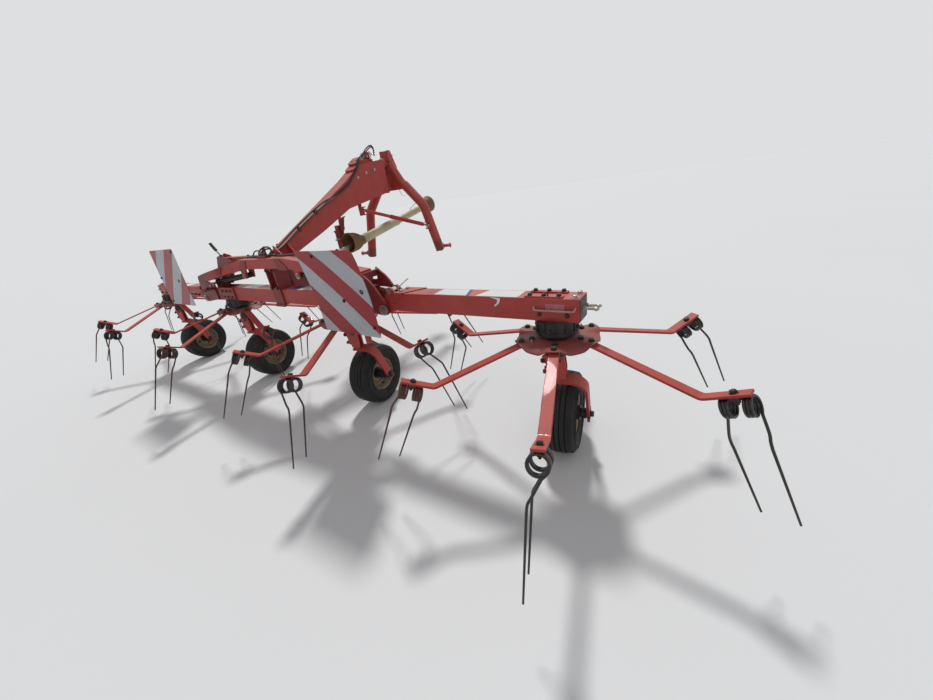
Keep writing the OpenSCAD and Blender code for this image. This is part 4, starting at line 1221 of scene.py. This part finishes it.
class TEDDER_OT_headstock(Piece, bpy.types.Operator):
    """Gussets, link pin fittings and the swing pin's ends"""

    bl_idname = "tedder.headstock"
    bl_label = "Headstock fittings"

    def build(self):
        s = Shape(placed(MAST))
        for side in (-1, 1):
            m = mirrored(side)
            ear = [(0.372, 0.845), (0.412, 0.845), (0.422, 0.83), (0.422, 0.795), (0.408, 0.772),
                   (0.365, 0.772), (0.352, 0.8)]
            s.prism(ear, -0.081, -0.069, m @ turn(90, "X"))
            knee = [(0.128, 1.4), (0.275, 1.222), (0.262, 1.2), (0.235, 1.205), (0.118, 1.345),
                    (0.112, 1.385)]
            s.prism(knee, -0.079, -0.071, m @ turn(90, "X"))
            s.lathe([(0.03, 0.0), (0.036, 0.003), (0.036, 0.006), (AXIS, 0.006), (AXIS, 0.0)],
                    m @ facing((0.095, 0, -0.405), (0.3855, 0.075, 0.783)), 32)
        s.lathe([(0.0165, 1.5725), (0.033, 1.5725), (0.033, 1.585), (0.028, 1.59), (0.0165, 1.59)], parts=36)
        for z in (1.345, 1.559):
            s.lathe([(0.0322, z), (0.037, z + 0.002), (0.037, z + 0.012), (0.0322, z + 0.014)], parts=36)
        s.prism(rect(-0.034, 0.06, 0.034, 0.152), 1.628, 1.638)
        s.prism(rect(-0.034, 0.068, 0.034, 0.082), 1.42, 1.47)
        s.prism(rect(-0.042, 0.056, 0.042, 0.064), 1.5, 1.666)
        s.make("headstock_plates", ["red"], "headstock", 0.0015, "red_paint")
        legs = Shape(placed(MAST))
        for side in (-1, 1):
            bend = [(0.135, 1.379), (0.27, 1.2145), (0.286, 1.191), (0.297, 1.162), (0.3665, 0.864)]
            legs.use(0).tube([(side * x, 0.0795, z) for x, z in bend], 0.0405, sides=36)
            legs.use(1).tube([(side * x, 0.0795, z) for x, z in ((0.3663, 0.865), (0.3865, 0.779))], 0.0405,
                             sides=36)
        legs.make("headstock_legs", ["red", "worn red"], "headstock", 0.001, "red_paint", angle=40)
        front = MAST @ Vector((0.33, 0.016, 1.015))
        rear = Vector((0.03, 0.9, 1.225))
        reach = (front - rear).length
        outer = Shape(placed(facing(front - rear, rear)))
        outer.lathe([(0.0136, 0.4 * reach), (0.0168, 0.4 * reach), (0.0168, 0.91 * reach),
                     (0.012, 0.935 * reach), (0.0082, 0.935 * reach), (0.0082, 0.9 * reach),
                     (0.0136, 0.9 * reach)], parts=32)
        for t in (0.405, 0.43):
            outer.lathe([(0.0165, t * reach), (0.0185, t * reach + 0.0006), (0.0185, t * reach + 0.004),
                         (0.0165, t * reach + 0.0046)], parts=32)
        outer.make("stay_sleeve", ["arm"], "stay_rod", 0.0005, "red_paint")
        z = Shape(placed(MAST))
        for side in (-1, 1):
            m = mirrored(side) @ move(0, 0.075, 0.815) @ turn(90, "Y")
            z.lathe([(0.0142, 0.4265), (0.021, 0.4265), (0.0225, 0.4285), (0.021, 0.4305), (0.0142, 0.4305)],
                    m, 28)
            z.tube([(0.019, 0, 0.4915), (-0.0225, 0, 0.4915)], 0.0042, m, 12)
            ring = [(-0.003 + 0.022 * math.cos(t), 0.0225 * math.sin(t), 0.4915 + 0.003 * math.cos(t))
                    for t in [0.3 * k - 2.9 for k in range(20)]]
            z.tube(ring, 0.0022, m, 8)
            for h in (1.45, 1.53):
                z.bolt(mirrored(side) @ move(0.04, 0.09, h) @ turn(90, "Y"), 0.017, 0.008)
        z.lathe([(AXIS, 1.5895), (0.016, 1.5895), (0.016, 1.6045), (0.013, 1.608), (AXIS, 1.608)], parts=28)
        z.tube([(0.03, 0.0, 1.6), (-0.03, 0.0, 1.6)], 0.0035, sides=10)
        z.disk(0.014, 1.33, 1.337, parts=24)
        chain = [(0.044, 0.1, 1.47), (0.06, 0.09, 1.42), (0.07, 0.085, 1.35), (0.085, 0.09, 1.3),
                 (0.11, 0.1, 1.29)]
        z.tube(smooth_path(chain, 6), 0.0022, sides=8)
        z.make("headstock_pins", ["zinc"], "headstock", 0.0005, "bare_steel")


# Z runs along the shaft from the gearbox's stub towards the tractor.
SHAFT = move(0, 0.345, 0.907) @ turn(10.5 - 90, "X")
SHAFT_LENGTH = 1.55


class TEDDER_OT_drive(Piece, bpy.types.Operator):
    """The drive shaft's joints and its guard of two tubes with cones"""

    bl_idname = "tedder.drive"
    bl_label = "Drive shaft"

    def yoke(self, s, z, way):
        """Two ears and the cross between them."""
        for k in (-1, 1):
            ear = arc((0, 0.0), 0.017, -90, 90, 8) + [(-0.05, 0.019), (-0.05, -0.019)]
            m = move(0, 0, z) @ turn(90 if way < 0 else -90, "Y")
            s.prism(ear, k * 0.0265 - 0.0055, k * 0.0265 + 0.0055, m @ turn(90, "X"))
            s.disk(0.0125, -0.001, 0.0035, move(0, k * 0.032, z) @ turn(-90 * k, "X"), 20)
        s.lathe([(AXIS, -0.031), (0.0085, -0.031), (0.0105, -0.012), (0.0105, 0.012), (0.0085, 0.031),
                 (AXIS, 0.031)], move(0, 0, z) @ turn(90, "X"), 20)

    def build(self):
        end = SHAFT_LENGTH
        s = Shape(placed(SHAFT))
        for k in (-1, 1):
            s.ring(0.0165, 0.0225, -0.012, 0.012, turn(90 * k, "Y"), 28)
        s.lathe([(0.0175, -0.014), (0.0345, -0.014), (0.0355, -0.004), (0.0355, 0.022), (0.032, 0.03),
                 (0.026, 0.036), (AXIS, 0.036), (AXIS, 0.022), (0.0175, 0.018)], parts=36)
        self.yoke(s, 0.072, 1)
        s.lathe([(AXIS, 0.09), (0.024, 0.09), (0.027, 0.1), (0.027, 0.15), (0.0195, 0.158),
                 (0.0195, end - 0.16), (0.027, end - 0.152), (0.027, end - 0.11), (0.024, end - 0.1),
                 (AXIS, end - 0.1)], parts=32)
        self.yoke(s, end - 0.085, -1)
        s.lathe([(0.019, end - 0.07), (0.031, end - 0.066), (0.0335, end - 0.06), (0.0335, end - 0.004),
                 (0.031, end), (0.019, end)], parts=32)
        for k in range(6):
            s.box((-0.0035, 0.0165, end - 0.055), (0.0035, 0.02, end - 0.001), turn(60 * k, "Z"))
        s.use(1)
        s.lathe([(0.0337, end - 0.04), (0.0385, end - 0.038), (0.0385, end - 0.024), (0.0337, end - 0.022)],
                parts=32)
        s.make("drive_shaft_joints", ["steel", "zinc"], "pto", 0.0007, "bare_steel", ["pto_shaft"])

        g = Shape(placed(SHAFT))
        lo, hi, meet = 0.35, end - 0.04, 0.98
        g.lathe([(0.034, lo + 0.132), (0.0365, lo + 0.136), (0.0365, meet), (0.035, meet + 0.004),
                 (0.0285, meet + 0.004)], parts=56)
        g.lathe([(0.029, meet - 0.01), (0.0315, meet - 0.01), (0.0315, hi - 0.128), (0.0285, hi - 0.128),
                 (0.0285, meet)], parts=56)
        for z in (0.55, 0.62, meet - 0.012):
            g.lathe([(0.0362, z), (0.0385, z + 0.001), (0.0385, z + 0.009), (0.0362, z + 0.01)], parts=48)
        g.use(1)
        hang = move(0, 0, lo + 0.14) @ turn(-11, "X") @ move(0, 0, -0.14)
        g.lathe([(0.0725, -0.004), (0.0795, -0.004), (0.0795, 0.016), (0.078, 0.018), (0.0725, 0.004)], hang,
                56)
        # Both end cones take the dark brown bell finish.
        g.use(3)
        g.lathe([(0.0315, 0.12), (0.05, 0.075), (0.074, 0.002), (0.0775, 0), (0.078, 0.006), (0.0755, 0.03),
                 (0.074, 0.034), (0.0755, 0.038), (0.0725, 0.06), (0.071, 0.064), (0.072, 0.068),
                 (0.061, 0.1), (0.049, 0.122), (0.041, 0.136), (0.0375, 0.152)], hang, 56)
        g.lathe([(0.0366, 0.126), (0.0405, 0.128), (0.0405, 0.156), (0.0366, 0.158)], move(0, 0, lo), 56)
        g.lathe([(0.0318, -0.142), (0.0335, -0.14), (0.0335, -0.13), (0.046, -0.118), (0.066, -0.07),
                 (0.0675, -0.066), (0.067, -0.06), (0.0725, -0.03), (0.0775, 0), (0.0735, 0), (0.05, -0.09),
                 (0.0285, -0.11)], move(0, 0, hi), 56)
        g.use(2)
        g.ring(0.0201, 0.0275, 0.9, 0.93, parts=32)
        g.tube(smooth_path([(0.0, -0.037, 1.2), (0.01, -0.05, 1.22), (0.03, -0.07, 1.3), (0.02, -0.05, 1.38),
                            (0.0, -0.034, 1.36)], 6), 0.0022, sides=8)
        g.make("drive_guard_tubes", ["guard", "rust", "black", "bell"], "centre_frame", slot="cream_plastic",
               replaces=["pto_guard"])

        b = Shape(placed())
        b.bolts([(x, 0.2, z) for x in (-0.062, 0.062) for z in (0.785, 0.86, 0.943)], turn(-90, "X"), 0.016)
        for k in range(6):
            b.bolt(move(0, 0.24, 0.907) @ turn(-90, "X") @ turn(60 * k, "Z") @ move(0.037, 0, 0), 0.011,
                   0.006)
        b.lathe([(0.0125, 0.0), (0.024, 0.0), (0.027, -0.004), (0.027, -0.012), (0.0125, -0.014)],
                move(0, 0.254, 0.907) @ turn(-90, "X"), 28)
        b.bolt(move(0.03, 0.12, 0.957), 0.022, 0.012)
        b.lathe([(AXIS, 0), (0.009, 0), (0.009, 0.018), (0.006, 0.024), (AXIS, 0.024)],
                move(-0.035, 0.13, 0.957), 16)
        b.make("gearbox_fittings", ["dark bolt"], "centre_frame", 0.0006, "black_paint")


class TEDDER_OT_parking_leg(Piece, bpy.types.Operator):
    """The parking leg's pin, holes and strap"""

    bl_idname = "tedder.parking_leg"
    bl_label = "Parking leg"

    def build(self):
        x, y = -0.125, 0.725
        s = Shape(placed())
        s.tube([(x, y - 0.052, 1.03), (x, y + 0.05, 1.03)], 0.0075, sides=16)
        loop = [(x, y - 0.05, 1.03), (x + 0.002, y - 0.062, 1.03), (x + 0.03, y - 0.062, 1.034),
                (x + 0.046, y - 0.04, 1.036), (x + 0.046, y + 0.036, 1.034), (x + 0.03, y + 0.045, 1.03),
                (x, y + 0.046, 1.03)]
        s.tube(smooth_path(loop, 5), 0.0028, sides=8)
        s.bolts([(x - 0.026, y + 0.012 * k, 0.965) for k in (-1, 1)], turn(-90, "Y"), 0.013, 0.006)
        s.make("leg_pin", ["zinc"], "centre_frame", slot="bare_steel")
        c = Shape(placed())
        for z in (0.928, 1.088):
            rim = rect(-0.0285, -0.0285, 0.0285, 0.0285)
            for a, b in zip(rim, rim[1:] + rim[:1]):
                lo = (x + min(a[0], b[0]) - 0.002, y + min(a[1], b[1]) - 0.002, z)
                hi = (x + max(a[0], b[0]) + 0.002, y + max(a[1], b[1]) + 0.002, z + 0.014)
                c.box(lo, hi)
        c.strip([(-0.055, 1.2), (-0.075, 1.19), (-0.1, 1.13), (-0.101, 1.1)], 0.03, 0.004,
                move(0, y + 0.03, 0))
        c.make("leg_sleeve_rims", ["dark red"], "centre_frame", 0.001, "dark_red_paint")
        h = Shape(placed())
        # Painted shade: flat black discs, barely raised off the leg, stand for the dark insides of its
        # holes.
        for n in range(7):
            z = 0.25 + 0.1 * n
            for k in (-1, 1):
                h.disk(0.009, 0, 0.00004, move(x, y + k * 0.02, z) @ turn(-90 * k, "X"), 20)
        h.use(1)
        h.tube([(x - 0.021, y - 0.021, 0.0145), (x + 0.021, y - 0.021, 0.0145),
                (x + 0.021, y + 0.021, 0.0145), (x - 0.021, y + 0.021, 0.0145),
                (x - 0.021, y - 0.021, 0.0145)], 0.0035, sides=8)
        h.prism([(-0.02, 0.012), (0.07, 0.012), (-0.02, 0.1)], x - 0.004, x + 0.004,
                move(0, y + 0.04, 0) @ LENGTHWISE)
        h.make("leg_holes", ["black", "red"], "parking_leg", slot="red_paint")


class TEDDER_OT_wheel_legs(Piece, bpy.types.Operator):
    """The wheel legs' brackets with their stops, and the axle blocks"""

    bl_idname = "tedder.wheel_legs"
    bl_label = "Wheel legs"

    def build(self):
        for i in ROTORS:
            post = placed(move(ROTOR_X[i], 0, 0) @ turn(WHEEL_TOE, "Z"))
            s = Shape(post)
            plate = [(-0.03, 0.445), (0.034, 0.445), (0.036, 0.5), (0.03, 0.555), (-0.05, 0.558),
                     (-0.074, 0.54), (-0.074, 0.525), (-0.052, 0.52), (-0.046, 0.497), (-0.066, 0.487),
                     (-0.066, 0.472), (-0.034, 0.465)]
            for y in (0.012, -0.02):
                s.prism(plate, y, y + 0.008, turn(90, "X"))
            s.use(1)
            s.lathe([(0.0192, 0.5565), (0.033, 0.5565), (0.0365, 0.561), (0.0365, 0.586), (0.034, 0.5895),
                     (0.0192, 0.5895)], parts=36)
            s.ring(0.0192, 0.026, 0.532, 0.556, parts=28)
            s.use(2)
            s.bolt(move(-0.062, -0.02, 0.532) @ turn(90, "X"), 0.014, 0.007)
            s.tube([(-0.056, -0.03, 0.479), (-0.056, 0.03, 0.479)], 0.005, sides=12)
            s.make(f"leg_bracket_{i}", ["red", "black", "dark bolt"], f"leg_{i}", 0.0012, "red_paint")
            a = Shape(post @ move(0, WHEEL_LEAD, TYRE_R))
            a.lathe([(0.0142, 0.0795), (0.024, 0.0795), (0.026, 0.082), (0.026, 0.107), (0.0142, 0.109)],
                    turn(90, "Y"), 28)
            block = arc((0, 0), 0.03, -140, 140, 10) + [(-0.028, 0.024), (-0.028, -0.024)]
            a.prism(block, 0.1125, 0.1245, turn(90, "Y"))
            a.use(1)
            a.bolt(move(0.1245, 0, 0) @ turn(90, "Y"), 0.027, 0.014)
            a.make(f"axle_block_{i}", ["black", "dark bolt"], f"leg_{i}", 0.001, "black_paint")


class TEDDER_OT_gearboxes(Piece, bpy.types.Operator):
    """Bolts and ribs of the four rotor gearboxes"""

    bl_idname = "tedder.gearboxes"
    bl_label = "Gearboxes"

    def build(self):
        for i in ROTORS:
            s = Shape(placed(move(ROTOR_X[i], 0, 0)))
            s.lathe([(0.0845, DISC_Z + 0.013), (0.0885, DISC_Z + 0.015), (0.0885, DISC_Z + 0.027),
                     (0.0845, DISC_Z + 0.029)], parts=56)
            for k in range(12):
                s.box((0.07, -0.003, DISC_Z + 0.028), (0.0885, 0.003, BEAM_LOW - 0.0005),
                      turn(30 * k + 15, "Z"))
            s.use(1)
            for k in range(8):
                s.bolt(turn(45 * k, "Z") @ move(0.0875, 0, DISC_Z + 0.04) @ turn(90, "Y"), 0.012, 0.006)
            s.lathe([(0.0305, DISC_Z + 0.001), (0.036, DISC_Z + 0.001), (0.036, DISC_Z + 0.009),
                     (0.0305, DISC_Z + 0.0115)], parts=40)
            s.make(f"gearbox_ribs_{i}", ["black", "dark bolt"], ROTOR_BODY[i], 0.0006, "black_paint")
            n = Shape(rotor_place(i))
            for a in (12, 192):
                m = turn(a, "Z") @ move(0.128, 0, DISC_Z - 0.003)
                n.lathe([(AXIS, 0), (0.0042, 0), (0.0042, 0.004), (0.003, 0.005), (0.003, 0.009),
                         (0.0036, 0.011), (0.002, 0.0135), (AXIS, 0.0135)], m, 14)
            n.make(f"disc_nipples_{i}", ["zinc"], f"rotor_{i}", slot="bare_steel")


class TEDDER_OT_frame_fittings(Piece, bpy.types.Operator):
    """The front bars' bolts, the lock lever's grip and the blank sheets on the frame"""

    bl_idname = "tedder.frame_fittings"
    bl_label = "Frame fittings"

    def build(self):
        s = Shape(placed())
        foot = Vector((-0.93, 0.118, 1.043))
        top = foot + Vector((-0.075, -0.01, 0.107))
        way = (top - foot).normalized()
        s.tube([foot, top], 0.0062, sides=14)
        s.use(1)
        m = facing(way, foot + way * 0.055)
        ribs = [(AXIS, 0.0), (0.0095, 0.0)]
        for k in range(7):
            z = 0.003 + 0.0095 * k
            ribs += [(0.0118, z), (0.0125, z + 0.003), (0.0118, z + 0.006), (0.0105, z + 0.0078)]
        ribs += [(0.0125, 0.072), (0.011, 0.078), (AXIS, 0.081)]
        s.lathe(ribs, m, 24, False)
        s.use(2)
        s.bolt(move(-0.93, 0.118, 1.04), 0.02, 0.01)
        s.make("lever_grip", ["steel", "grip", "dark bolt"], "centre_frame", slot="black_paint",
               replaces=["lock_lever"])
        r = Shape(placed())
        rail = [(0.098, 0.99), (0.142, 0.99), (0.145, 0.993), (0.145, 1.029), (0.142, 1.032), (0.098, 1.032),
                (0.095, 1.029), (0.095, 0.993)]
        r.prism(rail, -0.926, -0.0545, LENGTHWISE)
        r.prism(rail, 0.0545, 0.62, LENGTHWISE)
        ear = [(0.0685, 0.89), (0.145, 0.985), (0.145, 1.045), (0.092, 1.045), (0.088, 1.02), (0.0685, 0.93)]
        r.prism(ear, -0.937, -0.927, LENGTHWISE)
        r.prism([(0.024, 0.955), (0.1, 0.992), (0.1, 1.028), (0.024, 0.992)], 0.585, 0.595, LENGTHWISE)
        cheek = [(-1.03, 0.862), (-0.765, 0.862), (-0.655, 0.99), (-0.8, 1.045), (-0.905, 1.045)]
        r.use(1).prism(cheek, -0.0785, -0.0725, turn(90, "X"))
        r.use(0)
        flap = [(-0.935, 1.032), (-0.8, 1.032), (-0.82, 1.044), (-0.9, 1.06), (-0.935, 1.058)]
        r.prism(flap, -0.143, -0.137, turn(90, "X"))
        r.make("front_rails", ["red", "dark red"], "centre_frame", 0.0015, "red_paint", ["front_bars"])
        b = Shape(placed())
        b.bolts([(-0.937, y, 0.97 + y * 0.3) for y in (0.085, 0.128)], turn(-90, "Y"), 0.015, 0.007)
        b.bolts([(x, 0.12, 1.032) for x in (-0.86, -0.5, 0.56)], across=0.013, head=0.006)
        p = Shape(placed())
        for side in (-1, 1):
            d = mirrored(side)
            p.prism([(0.17, 1.0348), (0.23, 1.0348), (0.3, 0.972), (0.29, 0.958), (0.2, 0.96)], 0.0752,
                    0.0792, d @ turn(90, "X"))
            p.prism([(0.56, 0.992), (0.66, 0.977), (0.66, 0.93), (0.6, 0.934)], 0.0752, 0.0792,
                    d @ turn(90, "X"))
            p.box((0.46, -0.026, 1.006), (0.53, 0.0, 1.018), d @ turn(8.25, "Y") @ move(-0.148, 0, 0.063))
        for side in (-1, 1):
            d = mirrored(side) @ turn(90, "X")
            p.prism(rect(0.56, 0.737, 0.83, 0.812), 0.0562, 0.0592, d)
            p.prism([(0.548, 0.733), (0.566, 0.733), (0.558, 0.823), (0.54, 0.823)], 0.0562, 0.0662, d)
            cover = [(side * x, -0.0592, z) for x in (0.61, 0.67, 0.73) for z in (0.752, 0.798)]
            b.bolts(cover, turn(90, "X"), 0.012, 0.005)
        b.make("front_bar_bolts", ["dark bolt"], "centre_frame", slot="bare_steel")
        p.make("bridge_plates", ["dark red"], "centre_frame", 0.0012, "dark_red_paint")
        q = Shape(placed())
        for x0, x1 in ((-0.44, -0.25), (0.27, 0.42)):
            q.prism([(x0, -0.045), (x1, -0.045), (x1, 0.05), (x0 + 0.03, 0.05), (x0, 0.03)],
                    BEAM_HIGH + 0.0002, BEAM_HIGH + 0.001)
        q.use(1)
        q.prism(rect(0.17, -0.045, 0.27, 0.05), BEAM_HIGH + 0.0002, BEAM_HIGH + 0.0011)
        q.make("beam_sheet_centre", ["sheet", "band"], "centre_frame", slot="red_paint")


class TEDDER_OT_stage(Piece, bpy.types.Operator):
    """The pale floor, soft light and the camera"""

    bl_idname = "tedder.stage"
    bl_label = "Stage"

    def build(self):
        sc = bpy.context.scene
        sc.view_settings.view_transform = "Standard"
        self.camera(sc)
        self.floor(sc)
        self.world(sc)
        for name, at, angle, strength in (
            ("key", (-1.5, 2.6, 4.6), 7, 1.95),
            ("fill", (3.0, -3.6, 3.4), 25, 0.2),
        ):
            light = bpy.data.lights.new(name, "SUN")
            light.angle, light.energy = math.radians(angle), strength
            o = bpy.data.objects.new(name, light)
            o.location = at
            o.rotation_euler = (-Vector(at)).to_track_quat("-Z", "Y").to_euler()
            sc.collection.objects.link(o)

    def camera(self, sc):
        data = bpy.data.cameras.new("camera")
        data.sensor_width, data.lens = 36.0, 357.2167 * 36 / 933
        data.clip_start, data.clip_end = 0.05, 200
        yaw, pitch, roll = math.radians(35.51), math.radians(23.92), math.radians(-8.72)
        fwd = Vector((-math.sin(yaw) * math.cos(pitch), math.cos(yaw) * math.cos(pitch), -math.sin(pitch)))
        right = Vector((math.cos(yaw), math.sin(yaw), 0))
        up = right.cross(fwd)
        r = right * math.cos(roll) + up * math.sin(roll)
        u = -right * math.sin(roll) + up * math.cos(roll)
        m = Matrix((r, u, -fwd)).transposed().to_4x4()
        m.translation = MIDDLE + Vector((2.4678, -1.3541, 1.2594))
        o = bpy.data.objects.new("camera", data)
        o.matrix_world = m
        sc.collection.objects.link(o)
        sc.camera = o

    def floor(self, sc):
        me = bpy.data.meshes.new("floor")
        me.from_pydata([(x, y, 0) for x, y in rect(-60, -60, 60, 60)], [], [(0, 1, 2, 3)])
        o = bpy.data.objects.new("floor", me)
        o.location.z = -0.0005
        sc.collection.objects.link(o)
        mat, t, shader = start_material("floor", Roughness=0.9)
        coords = node(t, "ShaderNodeTexCoord").outputs["Object"]
        shade = ramp(t, noise(t, coords, 0.6, 3.0), 0.3, 0.7, 0.775, 0.785)
        t.links.new(grey(t, shade), shader.inputs["Base Color"])
        me.materials.append(mat)

    def world(self, sc):
        w = bpy.data.worlds.new("studio")
        sc.world = w
        w.use_nodes = True
        t = w.node_tree
        t.nodes.clear()
        rays = node(t, "ShaderNodeLightPath")
        seen = maths(t, "MAXIMUM", rays.outputs["Is Camera Ray"], rays.outputs["Is Glossy Ray"])
        plain = node(t, "ShaderNodeBackground", {"Color": (0.94, 0.97, 1.0, 1), "Strength": 0.36})
        white = node(t, "ShaderNodeBackground", {"Color": (0.81, 0.817, 0.825, 1), "Strength": 0.9})
        mix = node(t, "ShaderNodeMixShader", {0: seen, 1: plain.outputs[0], 2: white.outputs[0]})
        node(t, "ShaderNodeOutputWorld", {0: mix.outputs[0]})


# Panel and registration

class TEDDER_PT_panel(bpy.types.Panel):
    """Lists the pieces and their settings"""

    bl_idname = "TEDDER_PT_panel"
    bl_label = "Hay Tedder"
    bl_space_type = "VIEW_3D"
    bl_region_type = "UI"
    bl_category = "Hay Tedder"

    def draw(self, context):
        for name in ("finish", "tines", "tyre"):
            box = self.layout.box()
            group = settings(name)
            for key in group.__annotations__:
                box.prop(group, key)
        for cls in STEPS:
            self.layout.operator(cls.bl_idname)


STEPS = (
    TEDDER_OT_stage,
    TEDDER_OT_finishes,
    TEDDER_OT_bodywork,
    TEDDER_OT_rotors,
    TEDDER_OT_tines,
    TEDDER_OT_wheels,
    TEDDER_OT_boards,
    TEDDER_OT_beams,
    TEDDER_OT_hinges,
    TEDDER_OT_cylinders,
    TEDDER_OT_hoses,
    TEDDER_OT_boom,
    TEDDER_OT_headstock,
    TEDDER_OT_drive,
    TEDDER_OT_parking_leg,
    TEDDER_OT_wheel_legs,
    TEDDER_OT_gearboxes,
    TEDDER_OT_frame_fittings,
)
GROUPS = {"finish": FinishSettings, "tines": TineSettings, "tyre": TyreSettings}


def register():
    for cls in (*GROUPS.values(), *STEPS, TEDDER_PT_panel):
        bpy.utils.register_class(cls)
    for name, cls in GROUPS.items():
        setattr(bpy.types.Scene, "tedder_" + name, PointerProperty(type=cls))


def unregister():
    for name in GROUPS:
        delattr(bpy.types.Scene, "tedder_" + name)
    for cls in reversed((*GROUPS.values(), *STEPS, TEDDER_PT_panel)):
        bpy.utils.unregister_class(cls)


def main():
    register()
    for cls in STEPS:
        group, name = cls.bl_idname.split(".")
        getattr(getattr(bpy.ops, group), name)()


if __name__ == "__main__":
    main()
